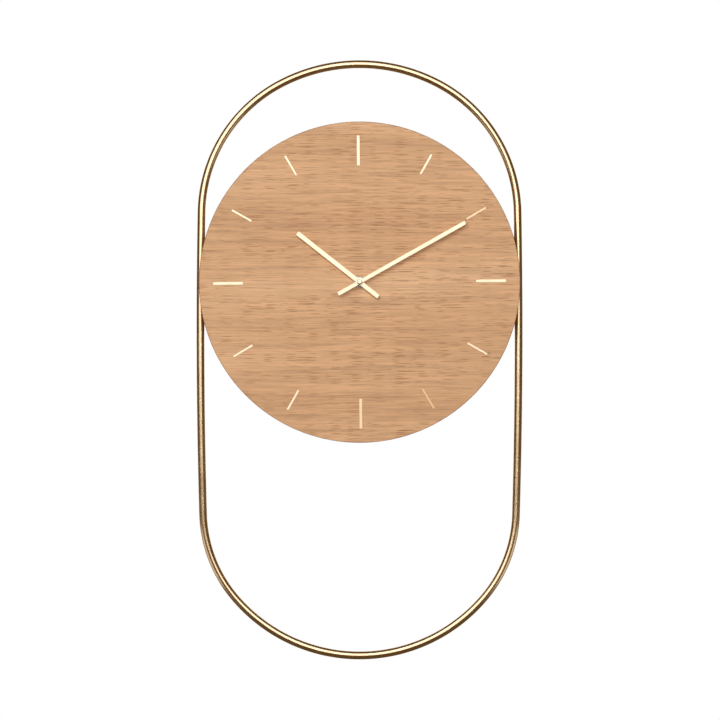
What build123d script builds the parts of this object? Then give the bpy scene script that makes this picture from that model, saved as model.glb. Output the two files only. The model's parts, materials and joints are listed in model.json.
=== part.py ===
from build123d import *
import math
import os

# A wall clock: a veneered wooden dial held in a tall closed loop of round brass-finished rod,
# with a battery quartz movement in a recess behind the dial.
#
# Every piece is drawn as seen by someone who reads the clock: x to the right, y up, z the distance
# from the wall, and x = y = 0 on the axis of the hands. stand_up() turns that to the part's frame,
# where +Z is up, the dial faces -Y, and the origin is the middle of the keyhole's entry, on the
# hanger plate's face towards the wall.
# All sizes are in millimetres and all angles in degrees.

# ---- dial ----
dial_diameter = 320.7
dial_thickness = 18.0
veneer_thickness = 0.6
veneer_edge_chamfer = 0.3
dial_web = 4.0                      # wood left in front of the movement

# ---- loop of round rod around the dial ----
rod_diameter = 8.0
rod_overlap = 5.0                   # how far the dial's edge covers the rod
rod_seat_clearance = 0.2
loop_top = 222.5                    # outer top, above the axis of the hands
loop_bottom = 377.6                 # outer bottom, below the axis
side_bow_radius = 6468.0            # the long sides are pushed out a little by the dial
side_bow_drop = 46.6                # middle of that bow, below the axis
top_shoulder_inset = 11.1           # the shoulder arc's radius is this much under half the width
top_crown_rise = 2.54               # the crown rises this much above the shoulder arcs
bottom_shoulder_inset = 24.8
bottom_crown_rise = 10.4

# ---- clamps that hold the loop in the dial's rear seats ----
clamp_thickness = 1.5
clamp_height = 22.0
clamp_inner_reach = 14.0            # from the rod's inner side towards the middle of the dial
clamp_hidden_margin = 1.0           # the clamp ends this much inside the rod's outer side
clamp_screw_spacing = 12.0
clamp_corner = 2.0

# ---- wood screws ----
screw_head_radius = 2.9
screw_head_height = 1.8
screw_shank_radius = 1.4
screw_length = 11.0
screw_hole_clearance = 0.1
screw_tip_radius = 0.2
screw_end_room = 0.5                # air beyond a screw's point
screw_recess_width = 0.8
screw_recess_depth = 0.9

# ---- hour markers ----
long_marker_length = 30.0
long_marker_width = 3.0
short_marker_length = 22.5
short_marker_width = 2.0
marker_thickness = 1.5
marker_proud = 0.3
marker_corner = 0.4
marker_edge_gap = 13.95             # from the dial's edge to a marker's outer end
marker_slot_clearance = 0.1
marker_turn = 0.55                  # the ring of markers sits this much anticlockwise

# ---- hanger and bumpers on the back ----
bumper_height = 5.0
bumper_radius = 6.0
bumper_round = 0.8
bumper_edge_gap = 30.0
bumper_angles = (40.0, 140.0, 220.0, 320.0)
hanger_edge_gap = 45.85
hanger_width = 50.0
hanger_height = 22.0
hanger_thickness = 1.5
hanger_corner = 3.0
hanger_screw_spacing = 38.0
keyhole_entry_radius = 4.5
keyhole_slot_radius = 2.2
keyhole_travel = 9.0
keyhole_pocket_margin = 3.0
keyhole_pocket_depth = 9.0

# ---- movement case ----
case_side = 56.0
case_depth = 15.6
case_wall = 1.2
case_corner = 3.0
case_recess_clearance = 1.2
cover_clearance = 0.1
wheel_wall_gap = 0.4                # from the hour wheel's teeth to the battery bay's wall
bay_wall_thickness = 1.0
post_inset_x = 2.6                  # posts stand this far inside the case's inner walls
post_inset_y = 2.6
front_post_radius = 2.5
cover_post_radius = 2.3
peg_radius = 1.25
peg_clearance = 0.1
peg_length = 2.6
rubber_washer_thickness = 0.8
rubber_washer_radius = 12.0
train_plate_thickness = 1.2
train_plate_clearance = 0.4
motion_space = 3.4                  # depth for the motion work in front of the train plate

# ---- threaded bush and what it clamps ----
bush_radius = 3.5
bush_flange_rim = 2.0
bush_flange_thickness = 0.6
bush_hole_clearance = 0.2
washer_rim = 1.7
washer_thickness = 0.5
nut_wall = 1.1
nut_thickness = 2.2
bush_beyond_nut = 0.3

# ---- arbors ----
running_clearance = 0.05
axial_gap = 0.1
pipe_clearance = 0.1
minute_arbor_radius = 1.7
hour_pipe_wall = 0.7
minute_thread_step = 0.3
centre_arbor_radius = 1.0
train_arbor_radius = 0.5
train_pivot_step = 0.1
motion_arbor_radius = 0.9
motion_pivot_step = 0.3
cover_pivot_depth = 0.8
plate_pivot_depth = 1.0

# ---- gears: teeth and modules ----
centre_teeth, third_pinion_teeth, centre_module = 64, 8, 0.25
third_teeth, second_pinion_teeth, third_module = 60, 8, 0.20
second_teeth, transfer_pinion_teeth, second_module = 60, 12, 0.20
transfer_teeth, rotor_pinion_teeth, transfer_module = 72, 12, 0.15
cannon_teeth, minute_wheel_teeth, cannon_module = 12, 36, 0.50
minute_pinion_teeth, hour_teeth, hour_module = 12, 48, 0.40
knob_pinion_teeth = 12
tooth_addendum = 0.62               # in modules
tooth_dedendum = 1.05
tooth_root_share = 0.60             # share of a tooth's pitch that is solid at the root
tooth_tip_share = 0.16
web_holes = 5
web_ring_share = 0.62               # of the radius at the roots of the teeth
web_hole_share = 0.17

# ---- directions from each arbor to the next one ----
third_direction = 40.0
second_direction = 80.0
transfer_direction = 100.0
rotor_direction = -10.0
minute_wheel_direction = 135.0
knob_direction = 90.0

# ---- levels of the gears, measured from the wall side of the train plate or the cover ----
gear_gap = 0.4
wheel_thickness = 0.8
centre_wheel_thickness = 1.0
motion_wheel_thickness = 1.0
cannon_width = 1.2
pinion_overhang = 0.2
minute_pinion_overhang = 0.1
centre_wheel_setback = 1.4          # behind the train plate
clutch_spring_thickness = 0.4
clutch_spring_radius = 3.0
clutch_collar_thickness = 0.6
clutch_collar_radius = 2.0
transfer_wheel_lift = 0.6           # above the rear cover
rotor_magnet_radius = 2.0
rotor_magnet_length = 1.2
stator_lift = 2.3                   # above the rear cover
stator_thickness = 0.8
stator_air_gap = 0.4
stator_width = 6.4
stator_lug = 3.0
stator_top_margin = 2.7             # plate above the rotor hole
stator_bottom = -6.0
coil_offset = 7.2                   # from the rotor's axis to the coil's axis
core_width = 2.4
core_thickness = 0.8
bobbin_radius = 1.8
bobbin_flange_radius = 3.1
bobbin_flange_thickness = 0.6
bobbin_slack = 0.1
bobbin_end_gap = 0.6
winding_radius = 2.9
stator_post_radius = 1.4
stator_screw_radius = 0.6
stator_screw_head_radius = 1.4
stator_screw_head_height = 0.7
stator_screw_length = 4.0

# ---- electronics ----
board_width = 10.0
board_height = 20.0
board_thickness = 1.0
board_corner = 0.6
board_centre = (-17.0, 4.0)
board_lift = 3.2                    # above the rear cover
board_peg_spacing = 16.0
board_peg_radius = 0.6
board_peg_proud = 0.4
board_post_radius = 1.4
chip_radius = 2.4
chip_height = 1.0
chip_offset = (1.8, -1.0)
crystal_radius = 1.2
crystal_length = 7.0
crystal_chamfer = 0.2
crystal_offset = (-2.6, 1.0)

# ---- battery and its contacts ----
battery_radius = 7.1
battery_length = 49.2
battery_nub_radius = 2.7
battery_nub_length = 1.0
battery_round = 0.5
battery_floor_gap = 0.2
contact_thickness = 0.4
contact_width = 9.0
contact_height = 10.0

# ---- setting knob ----
knob_radius = 5.0
knob_thickness = 1.7
knob_shaft_radius = 1.2
knob_ridges = 24
knob_ridge_depth = 0.35
knob_cover_gap = 0.2

# ---- hands ----
hand_thickness = 0.8
hour_hand_length = 79.0
hour_hand_tail = 24.0
hour_hand_width = 4.5
hour_hub_radius = 5.3
hour_hub_thickness = 0.4
hour_hand_angle = 141.8             # anticlockwise from x, with the hands as they rest
minute_hand_length = 121.0
minute_hand_tail = 24.5
minute_hand_width = 3.95
minute_hand_angle = 29.4
collet_wall = 0.8
collet_length = 1.6
collet_bush_gap = 0.3
hands_gap = 1.2
cap_radius = 2.7
cap_height = 2.3
cap_bore_depth = 1.6
cap_round = 0.8

# ---- places that follow from the sizes ----
dial_radius = dial_diameter / 2
rod_radius = rod_diameter / 2
dial_back = bumper_height
dial_front = dial_back + dial_thickness
marker_floor = dial_front + marker_proud - marker_thickness
core_front = dial_front - veneer_thickness
core_radius = dial_radius - veneer_thickness
loop_half_width = dial_radius - rod_overlap + rod_diameter
rod_depth = dial_back + rod_radius

hour_pipe_bore_radius = minute_arbor_radius + pipe_clearance
hour_pipe_radius = hour_pipe_bore_radius + hour_pipe_wall
bush_bore_radius = hour_pipe_radius + pipe_clearance
minute_thread_radius = minute_arbor_radius - minute_thread_step
train_pivot_radius = train_arbor_radius - train_pivot_step
motion_pivot_radius = motion_arbor_radius - motion_pivot_step

recess_floor = dial_front - dial_web
case_front = recess_floor - rubber_washer_thickness
case_back = case_front - case_depth
case_inside_front = case_front - case_wall
cover_inside = case_back + case_wall
plate_front = case_inside_front - motion_space
plate_back = plate_front - train_plate_thickness
case_half = case_side / 2
inside_half = case_half - case_wall
bay_wall_top = -((hour_teeth / 2 + tooth_addendum) * hour_module + wheel_wall_gap)
bay_wall_bottom = bay_wall_top - bay_wall_thickness

washer_front = dial_front + washer_thickness
nut_front = washer_front + nut_thickness
bush_front = nut_front + bush_beyond_nut
hour_hand_back = bush_front + collet_bush_gap + collet_length
hour_hand_front = hour_hand_back + hand_thickness
minute_hand_back = hour_hand_front + hands_gap
minute_hand_front = minute_hand_back + hand_thickness

post_x = inside_half - post_inset_x
post_spots = [(side * post_x, height) for side in (-1, 1)
              for height in (inside_half - post_inset_y, bay_wall_top + post_inset_y)]


def stand_up(shape):
    """Move a piece from the drawing frame to the part's frame."""
    entry_height = dial_radius - hanger_edge_gap - keyhole_travel / 2
    return Plane.XZ * Pos(0, -entry_height, hanger_thickness - dial_back) * shape


def save(name, *solids):
    """Write one node, which may be a group of separate solids."""
    upright = [stand_up(solid) for solid in solids]
    shape = upright[0] if len(upright) == 1 else Compound(children=upright)
    export_step(shape, f"parts/{name}.step")


def rod(radius, low, high, at=(0.0, 0.0)):
    """Round bar between two distances from the wall."""
    bar = Cylinder(radius, high - low, align=(Align.CENTER, Align.CENTER, Align.MIN))
    return Pos(at[0], at[1], low) * bar


def tube(outer, inner, low, high, at=(0.0, 0.0)):
    """Round bar with a hole right through."""
    return rod(outer, low, high, at) - rod(inner, low - 1, high + 1, at)


def slab(width, height, low, high, at=(0.0, 0.0), corner=0.0):
    """Flat plate between two distances from the wall, with its corners rounded if asked."""
    outline = RectangleRounded(width, height, corner) if corner else Rectangle(width, height)
    return Pos(at[0], at[1], low) * extrude(outline, high - low)


def block(left, right, bottom, top, low, high, corner=0.0):
    """Flat plate given by its four sides."""
    centre = ((left + right) / 2, (bottom + top) / 2)
    return slab(right - left, top - bottom, low, high, centre, corner)


def polar(radius, angle, start=(0.0, 0.0)):
    """Point at a distance and a direction from another point."""
    turn = math.radians(angle)
    return (start[0] + radius * math.cos(turn), start[1] + radius * math.sin(turn))


def wood_screw(at, seat):
    """Pan-head screw driven from the back, with a cross recess. seat is where its head bears."""
    head = rod(screw_head_radius, seat - screw_head_height, seat, at)
    head = fillet(head.faces().sort_by(Axis.Z)[0].edges(), screw_head_height / 3)
    shank = rod(screw_shank_radius, seat, seat + screw_length - screw_shank_radius, at)
    point_low = seat + screw_length - screw_shank_radius
    tip = Cone(screw_shank_radius, screw_tip_radius, screw_shank_radius,
               align=(Align.CENTER, Align.CENTER, Align.MIN))
    point = Pos(at[0], at[1], point_low) * tip
    recess_low = seat - screw_head_height - 1
    recess_high = seat - screw_head_height + screw_recess_depth
    reach = screw_head_radius * 1.1
    recess = slab(reach, screw_recess_width, recess_low, recess_high, at)
    recess += slab(screw_recess_width, reach, recess_low, recess_high, at)
    return head + shank + point - recess


def screw_hole(at, entry):
    """Hole for a wood screw whose head bears at the given distance from the wall."""
    end = entry + screw_length + screw_end_room
    return rod(screw_shank_radius + screw_hole_clearance, entry - 1, end, at)


# ---- gears ----
def gear_outline(teeth, module, phase):
    """Closed outline of a gear whose first tooth points in the direction phase, in degrees."""
    pitch = 2 * math.pi / teeth
    pitch_radius = teeth * module / 2
    tip = pitch_radius + tooth_addendum * module
    root = pitch_radius - tooth_dedendum * module
    half_root = pitch * tooth_root_share / 2
    half_tip = pitch * tooth_tip_share / 2
    points = []
    for tooth in range(teeth):
        middle = math.radians(phase) + tooth * pitch
        for radius, offset in ((root, -half_root), (tip, -half_tip), (tip, half_tip), (root, half_root)):
            angle = middle + offset
            points.append((radius * math.cos(angle), radius * math.sin(angle)))
    return Polyline(*points, close=True)


def gear(teeth, module, phase, low, high, at=(0.0, 0.0)):
    """Toothed disc between two distances from the wall."""
    return Pos(at[0], at[1], low) * extrude(make_face(gear_outline(teeth, module, phase)), high - low)


def meshing_phase(phase, teeth, next_teeth, direction):
    """Phase that puts a gap of the next gear at this gear's tooth, along the given direction."""
    lead = direction - phase
    return direction + 180 + lead * teeth / next_teeth + 180 / next_teeth


def centre_distance(teeth, next_teeth, module):
    """Distance between the axes of two gears in mesh."""
    return (teeth + next_teeth) * module / 2


def wheel(teeth, module, phase, low, high, at=(0.0, 0.0)):
    """Gear with a ring of holes in its web."""
    root = (teeth / 2 - tooth_dedendum) * module
    disc = gear(teeth, module, phase, low, high, at)
    for step in range(web_holes):
        spot = polar(web_ring_share * root, step * 360 / web_holes, at)
        disc -= rod(web_hole_share * root, low - 1, high + 1, spot)
    return disc


centre_at = (0.0, 0.0)
third_at = polar(centre_distance(centre_teeth, third_pinion_teeth, centre_module), third_direction)
second_at = polar(
    centre_distance(third_teeth, second_pinion_teeth, third_module), second_direction, third_at)
transfer_at = polar(
    centre_distance(second_teeth, transfer_pinion_teeth, second_module), transfer_direction, second_at)
rotor_at = polar(
    centre_distance(transfer_teeth, rotor_pinion_teeth, transfer_module), rotor_direction, transfer_at)
minute_wheel_at = polar(
    centre_distance(cannon_teeth, minute_wheel_teeth, cannon_module), minute_wheel_direction)
knob_at = polar(
    centre_distance(minute_wheel_teeth, knob_pinion_teeth, cannon_module), knob_direction, minute_wheel_at)

# Levels, from the train plate back to the rear cover.
centre_high = plate_back - centre_wheel_setback
centre_low = centre_high - centre_wheel_thickness
third_high = centre_low - clutch_collar_thickness
third_low = third_high - wheel_thickness
second_high = third_low - gear_gap
second_low = second_high - wheel_thickness
transfer_low = cover_inside + transfer_wheel_lift
transfer_high = transfer_low + wheel_thickness
stator_low = cover_inside + stator_lift
stator_high = stator_low + stator_thickness
core_high = stator_high + core_thickness
magnet_middle = (stator_low + stator_high) / 2
arbor_low = cover_inside + axial_gap
arbor_high = plate_back - axial_gap

# Levels of the motion work, from the train plate to the case's front wall.
cannon_low = plate_front + pinion_overhang
cannon_high = cannon_low + cannon_width
minute_wheel_low = (cannon_low + cannon_high - motion_wheel_thickness) / 2
minute_wheel_high = minute_wheel_low + motion_wheel_thickness
hour_wheel_low = cannon_high + pinion_overhang
hour_wheel_high = hour_wheel_low + motion_wheel_thickness


# ---- outline of the loop ----
def loop_end(end_height, inset, rise):
    """Shoulder and crown arcs of one end: their centres and outer radii, for the right side."""
    up = 1 if end_height > 0 else -1
    shoulder_radius = loop_half_width - inset
    shoulder_y = end_height - up * (shoulder_radius + rise)
    reach = math.sqrt((side_bow_radius - shoulder_radius) ** 2 - (shoulder_y + side_bow_drop) ** 2)
    shoulder_x = loop_half_width - side_bow_radius + reach
    crown_radius = shoulder_radius + rise / 2 + shoulder_x ** 2 / (2 * rise)
    return (shoulder_x, shoulder_y), shoulder_radius, (0.0, end_height - up * crown_radius), crown_radius


def loop_half_width_at(height):
    """Half of the loop's outer width at a height where its sides or shoulders are."""
    for end_height, inset, rise in ((loop_top, top_shoulder_inset, top_crown_rise),
                                    (-loop_bottom, bottom_shoulder_inset, bottom_crown_rise)):
        (shoulder_x, shoulder_y), shoulder_radius, _, _ = loop_end(end_height, inset, rise)
        if (height - shoulder_y) * end_height > 0:
            return shoulder_x + math.sqrt(shoulder_radius ** 2 - (height - shoulder_y) ** 2)
    bow = math.sqrt(side_bow_radius ** 2 - (height + side_bow_drop) ** 2)
    return loop_half_width - side_bow_radius + bow


# ---- dial ----
def marker_spots():
    """Direction of each marker, with True for the four long ones."""
    return [(90 + marker_turn - 30 * hour, hour % 3 == 0) for hour in range(12)]


def marker_bar(direction, is_long, clearance, low, high):
    """One marker bar, or its slot when a clearance is given."""
    length = long_marker_length if is_long else short_marker_length
    width = long_marker_width if is_long else short_marker_width
    middle = dial_radius - marker_edge_gap - length / 2
    bar = slab(length + 2 * clearance, width + 2 * clearance, low, high, (middle, 0), marker_corner)
    return Rot(0, 0, direction) * bar


def marker_slots():
    """All twelve marker slots as one cutting shape."""
    bars = [marker_bar(direction, is_long, marker_slot_clearance, marker_floor, dial_front + 1)
            for direction, is_long in marker_spots()]
    return Part() + bars


def rod_seats(low_margin=1.0):
    """Two steps in the dial's rear edge where the sides of the loop lie."""
    reach = math.sqrt(dial_radius ** 2 - (dial_radius - rod_overlap) ** 2)
    narrowest = min(loop_half_width_at(reach), loop_half_width_at(-reach))
    inner = narrowest - rod_diameter - rod_seat_clearance
    outer = dial_radius + rod_diameter
    step_high = dial_back + rod_diameter + rod_seat_clearance
    seats = Part()
    for side in (-1, 1):
        middle = side * (inner + outer) / 2
        seats += slab(outer - inner, dial_diameter, dial_back - low_margin, step_high, (middle, 0))
    return seats


def clamp_screw_spots(side):
    """Places of one clamp's two screws."""
    x = side * (loop_half_width - rod_diameter - clamp_inner_reach / 2)
    return [(x, up * clamp_screw_spacing / 2) for up in (-1, 1)]


def hanger_centre():
    return (0.0, dial_radius - hanger_edge_gap)


def hanger_screw_spots():
    x, y = hanger_centre()
    return [(x + side * hanger_screw_spacing / 2, y) for side in (-1, 1)]


def keyhole_points():
    """Middle of the keyhole's entry and of the slot's upper end."""
    x, y = hanger_centre()
    return (x, y - keyhole_travel / 2), (x, y + keyhole_travel / 2)


def keyhole_pocket():
    """Room in the wood behind the keyhole for the head of the wall screw."""
    entry, top = keyhole_points()
    radius = keyhole_entry_radius + keyhole_pocket_margin
    low, high = dial_back - 1, dial_back + keyhole_pocket_depth
    pocket = rod(radius, low, high, entry) + rod(radius, low, high, top)
    return pocket + slab(2 * radius, keyhole_travel, low, high, hanger_centre())


def make_dial():
    recess_side = case_side + 2 * case_recess_clearance
    recess = slab(recess_side, recess_side, dial_back - 1, recess_floor, (0, 0), case_corner)
    bush_hole = rod(bush_radius + bush_hole_clearance, recess_floor - 1, dial_front + 1)
    cuts = recess + bush_hole + keyhole_pocket() + rod_seats()
    for side in (-1, 1):
        for spot in clamp_screw_spots(side):
            cuts += screw_hole(spot, dial_back - clamp_thickness)
    for spot in hanger_screw_spots():
        cuts += screw_hole(spot, dial_back - hanger_thickness)
    slots = marker_slots()
    save("dial_core", rod(core_radius, dial_back, core_front) - cuts - slots)
    band = tube(dial_radius, core_radius, dial_back, core_front) - rod_seats()
    save("edge_band", *band.solids())
    veneer = rod(dial_radius, core_front, dial_front)
    veneer = chamfer(veneer.faces().sort_by(Axis.Z)[-1].edges(), veneer_edge_chamfer)
    save("face_veneer", veneer - bush_hole - slots)


def make_markers():
    high = dial_front + marker_proud
    bars = {True: [], False: []}
    for direction, is_long in marker_spots():
        bars[is_long].append(marker_bar(direction, is_long, 0.0, marker_floor, high))
    save("hour_markers_long", *bars[True])
    save("hour_markers_short", *bars[False])


# ---- loop ----
def direction_between(start, end):
    return math.degrees(math.atan2(end[1] - start[1], end[0] - start[0]))


def bent_rod(centre, outer_radius, start, end):
    """Stretch of the rod bent to an arc, from one direction to another."""
    across = Vector(*polar(1, start), 0)
    along = Vector(*polar(1, start + 90), 0)
    middle = polar(outer_radius - rod_radius, start, centre)
    section = Plane(origin=(*middle, rod_depth), x_dir=across, z_dir=along) * Circle(rod_radius)
    return revolve(section, Axis((*centre, rod_depth), (0, 0, 1)), end - start)


def make_loop():
    side_centre = (loop_half_width - side_bow_radius, -side_bow_drop)
    top_shoulder, top_radius, top_crown, top_crown_radius = loop_end(
        loop_top, top_shoulder_inset, top_crown_rise)
    low_shoulder, low_radius, low_crown, low_crown_radius = loop_end(
        -loop_bottom, bottom_shoulder_inset, bottom_crown_rise)
    top_joint = direction_between(side_centre, top_shoulder)
    low_joint = direction_between(side_centre, low_shoulder)
    top_turn = direction_between(top_crown, top_shoulder)
    low_turn = direction_between(low_crown, low_shoulder)
    right = [
        bent_rod(side_centre, side_bow_radius, low_joint, top_joint),
        bent_rod(top_shoulder, top_radius, top_joint, top_turn),
        bent_rod(low_shoulder, low_radius, low_turn, low_joint),
    ]
    left = [mirror(piece, Plane.YZ) for piece in right]
    crowns = [
        bent_rod(top_crown, top_crown_radius, top_turn, 180 - top_turn),
        bent_rod(low_crown, low_crown_radius, -180 - low_turn, low_turn),
    ]
    save("loop_frame", Part() + (right + left + crowns))


def make_clamps():
    seat = dial_back - clamp_thickness
    for name, side in (("loop_clamp_left", -1), ("loop_clamp_right", 1)):
        inner = loop_half_width - rod_diameter - clamp_inner_reach
        outer = loop_half_width - clamp_hidden_margin
        middle = side * (inner + outer) / 2
        plate = slab(outer - inner, clamp_height, seat, dial_back, (middle, 0), clamp_corner)
        for spot in clamp_screw_spots(side):
            plate -= screw_hole(spot, seat)
        save(name, plate)
    screws = [wood_screw(spot, seat) for side in (-1, 1) for spot in clamp_screw_spots(side)]
    save("loop_clamp_screws", *screws)


# ---- what hangs the clock and keeps it off the wall ----
def make_hanger():
    low, high = dial_back - hanger_thickness, dial_back
    entry, top = keyhole_points()
    plate = slab(hanger_width, hanger_height, low, high, hanger_centre(), hanger_corner)
    plate -= rod(keyhole_entry_radius, low - 1, high + 1, entry)
    plate -= rod(keyhole_slot_radius, low - 1, high + 1, top)
    plate -= slab(2 * keyhole_slot_radius, keyhole_travel, low - 1, high + 1, hanger_centre())
    for spot in hanger_screw_spots():
        plate -= screw_hole(spot, low)
    save("hanger_plate", plate)
    save("hanger_screws", *[wood_screw(spot, low) for spot in hanger_screw_spots()])


def make_bumpers():
    bumpers = []
    for angle in bumper_angles:
        pad = rod(bumper_radius, 0, dial_back, polar(dial_radius - bumper_edge_gap, angle))
        bumpers.append(fillet(pad.faces().sort_by(Axis.Z)[0].edges(), bumper_round))
    save("wall_bumpers", *bumpers)


# ---- movement case ----
def train_spots():
    return [third_at, second_at, transfer_at, rotor_at]


def make_front_case():
    box = slab(case_side, case_side, case_back, case_front, (0, 0), case_corner)
    inner_corner = case_corner - case_wall
    box -= block(-inside_half, inside_half, bay_wall_top, inside_half,
                 case_back - 1, case_inside_front, inner_corner)
    box -= block(-inside_half, inside_half, -inside_half, bay_wall_bottom,
                 case_back - 1, case_inside_front, inner_corner)
    for spot in post_spots:
        box += rod(front_post_radius, plate_front, case_inside_front, spot)
    for spot in post_spots:
        box -= rod(peg_radius + peg_clearance, plate_front - 1, plate_front + peg_length, spot)
    box -= rod(bush_radius, case_back, case_front + 1)
    pivot_hole = motion_pivot_radius + running_clearance
    for spot in (minute_wheel_at, knob_at):
        box -= rod(pivot_hole, case_inside_front - 1, case_inside_front + case_wall / 2, spot)
    save("movement_front_case", box)


def make_rear_cover():
    side = inside_half - cover_clearance
    bottom = bay_wall_top + cover_clearance
    cover = block(-side, side, bottom, side, case_back, cover_inside, case_corner - case_wall)
    for spot in post_spots:
        cover += rod(cover_post_radius, cover_inside, plate_back, spot)
        cover += rod(peg_radius, plate_back, plate_front + peg_length - peg_clearance, spot)
    for spot in train_spots():
        cover -= rod(train_pivot_radius + running_clearance, cover_inside - cover_pivot_depth - 0.1,
                     cover_inside + 1, spot)
    cover -= rod(train_pivot_radius + running_clearance, cover_inside - cover_pivot_depth - 0.1,
                 cover_inside + 1, centre_at)
    cover -= rod(knob_shaft_radius + running_clearance, case_back - 1, cover_inside + 1, knob_at)
    save("movement_rear_cover", cover)


def stator_lug_heights():
    """Middle height of the stator's two lugs, top and bottom."""
    top = rotor_at[1] + rotor_magnet_radius + stator_air_gap + stator_top_margin
    return top - stator_lug / 2, stator_bottom + stator_lug / 2


def coil_x():
    return rotor_at[0] + coil_offset


def board_peg_spots():
    x, y = board_centre
    return [(x, y + up * board_peg_spacing / 2) for up in (-1, 1)]


def make_train_plate():
    side = inside_half - train_plate_clearance
    bottom = bay_wall_top + train_plate_clearance
    plate = block(-side, side, bottom, side, plate_back, plate_front, case_corner - case_wall)
    for height in stator_lug_heights():
        plate += rod(stator_post_radius, core_high, plate_back, (coil_x(), height))
    board_front = cover_inside + board_lift + board_thickness
    for spot in board_peg_spots():
        plate += rod(board_post_radius, board_front, plate_back, spot)
        plate += rod(board_peg_radius, board_front - board_thickness - board_peg_proud, board_front, spot)
    for spot in post_spots:
        plate -= rod(peg_radius + peg_clearance, plate_back - 1, plate_front + 1, spot)
    for spot in train_spots():
        plate -= rod(train_pivot_radius + running_clearance, plate_back - 1, plate_front + 1, spot)
    plate -= rod(motion_pivot_radius + running_clearance, plate_back - 1, plate_front + 1, minute_wheel_at)
    plate -= rod(minute_arbor_radius + running_clearance, plate_back - 1, plate_front + 1, centre_at)
    plate -= rod(knob_shaft_radius + running_clearance, plate_back - 1, plate_front + 1, knob_at)
    for height in stator_lug_heights():
        plate -= rod(stator_screw_radius, core_high - 1, stator_low + stator_screw_length + screw_end_room,
                     (coil_x(), height))
    save("train_plate", plate)


# ---- bush, washers and nut ----
def make_bush_stack():
    bush = rod(bush_radius, case_inside_front, bush_front)
    bush += rod(bush_radius + bush_flange_rim, case_inside_front - bush_flange_thickness, case_inside_front)
    bush -= rod(bush_bore_radius, case_back, bush_front + 1)
    save("centre_bush", bush)
    hole = bush_radius + running_clearance
    save("rubber_washer", tube(rubber_washer_radius, hole, case_front, recess_floor))
    save("dial_washer", tube(bush_radius + washer_rim, hole, dial_front, washer_front))
    nut = extrude(RegularPolygon(bush_radius + nut_wall, 6, major_radius=False), nut_thickness)
    save("hex_nut", Pos(0, 0, washer_front) * nut - rod(hole, washer_front - 1, nut_front + 1))


# ---- step motor ----
def make_motor():
    top_lug, bottom_lug = stator_lug_heights()
    left = rotor_at[0] - stator_width / 2
    right = rotor_at[0] + stator_width / 2
    core_right = coil_x() + core_width / 2
    lug_half = stator_lug / 2
    stator = block(left, right, bottom_lug - lug_half, top_lug + lug_half, stator_low, stator_high)
    for height in (top_lug, bottom_lug):
        stator += block(right - 1, core_right, height - lug_half, height + lug_half, stator_low, stator_high)
    stator -= rod(rotor_magnet_radius + stator_air_gap, stator_low - 1, stator_high + 1, rotor_at)
    core = block(coil_x() - core_width / 2, core_right, bottom_lug - lug_half, top_lug + lug_half,
                 stator_high, core_high)
    screws = []
    for height in (top_lug, bottom_lug):
        spot = (coil_x(), height)
        hole = rod(stator_screw_radius + screw_hole_clearance, stator_low - 1, core_high + 1, spot)
        stator -= hole
        core -= hole
        screw = rod(stator_screw_head_radius, stator_low - stator_screw_head_height, stator_low, spot)
        screws.append(screw + rod(stator_screw_radius, stator_low, stator_low + stator_screw_length, spot))
    save("stator", stator)
    save("coil_core", core)
    save("stator_screws", *screws)

    coil_bottom = bottom_lug + lug_half + bobbin_end_gap
    coil_top = top_lug - lug_half - bobbin_end_gap
    coil_level = (stator_high + core_high) / 2

    def along_coil(radius, low, high):
        bar = Cylinder(radius, high - low, align=(Align.CENTER, Align.CENTER, Align.MIN))
        return Pos(coil_x(), low, coil_level) * Rot(-90, 0, 0) * bar

    window = slab(core_width + 2 * bobbin_slack, coil_top - coil_bottom + 2,
                  stator_high - bobbin_slack, core_high + bobbin_slack,
                  (coil_x(), (coil_top + coil_bottom) / 2))
    bobbin = along_coil(bobbin_radius, coil_bottom, coil_top)
    bobbin += along_coil(bobbin_flange_radius, coil_bottom, coil_bottom + bobbin_flange_thickness)
    bobbin += along_coil(bobbin_flange_radius, coil_top - bobbin_flange_thickness, coil_top)
    save("coil_bobbin", bobbin - window)
    wound_low = coil_bottom + bobbin_flange_thickness
    wound_high = coil_top - bobbin_flange_thickness
    winding = along_coil(winding_radius, wound_low, wound_high)
    save("coil_winding", winding - along_coil(bobbin_radius, wound_low - 1, wound_high + 1))


# ---- electronics and battery ----
def make_board():
    low = cover_inside + board_lift
    board = slab(board_width, board_height, low, low + board_thickness, board_centre, board_corner)
    for spot in board_peg_spots():
        board -= rod(board_peg_radius + running_clearance, low - 1, low + board_thickness + 1, spot)
    save("circuit_board", board)
    chip_at = (board_centre[0] + chip_offset[0], board_centre[1] + chip_offset[1])
    chip = rod(chip_radius, low - chip_height, low, chip_at)
    save("clock_chip", fillet(chip.faces().sort_by(Axis.Z)[0].edges(), chip_height / 2))
    x = board_centre[0] + crystal_offset[0]
    y = board_centre[1] + crystal_offset[1]
    can = Cylinder(crystal_radius, crystal_length)
    can = chamfer(can.edges(), crystal_chamfer)
    save("quartz_crystal", Pos(x, y, low - crystal_radius) * Rot(90, 0, 0) * can)


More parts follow.
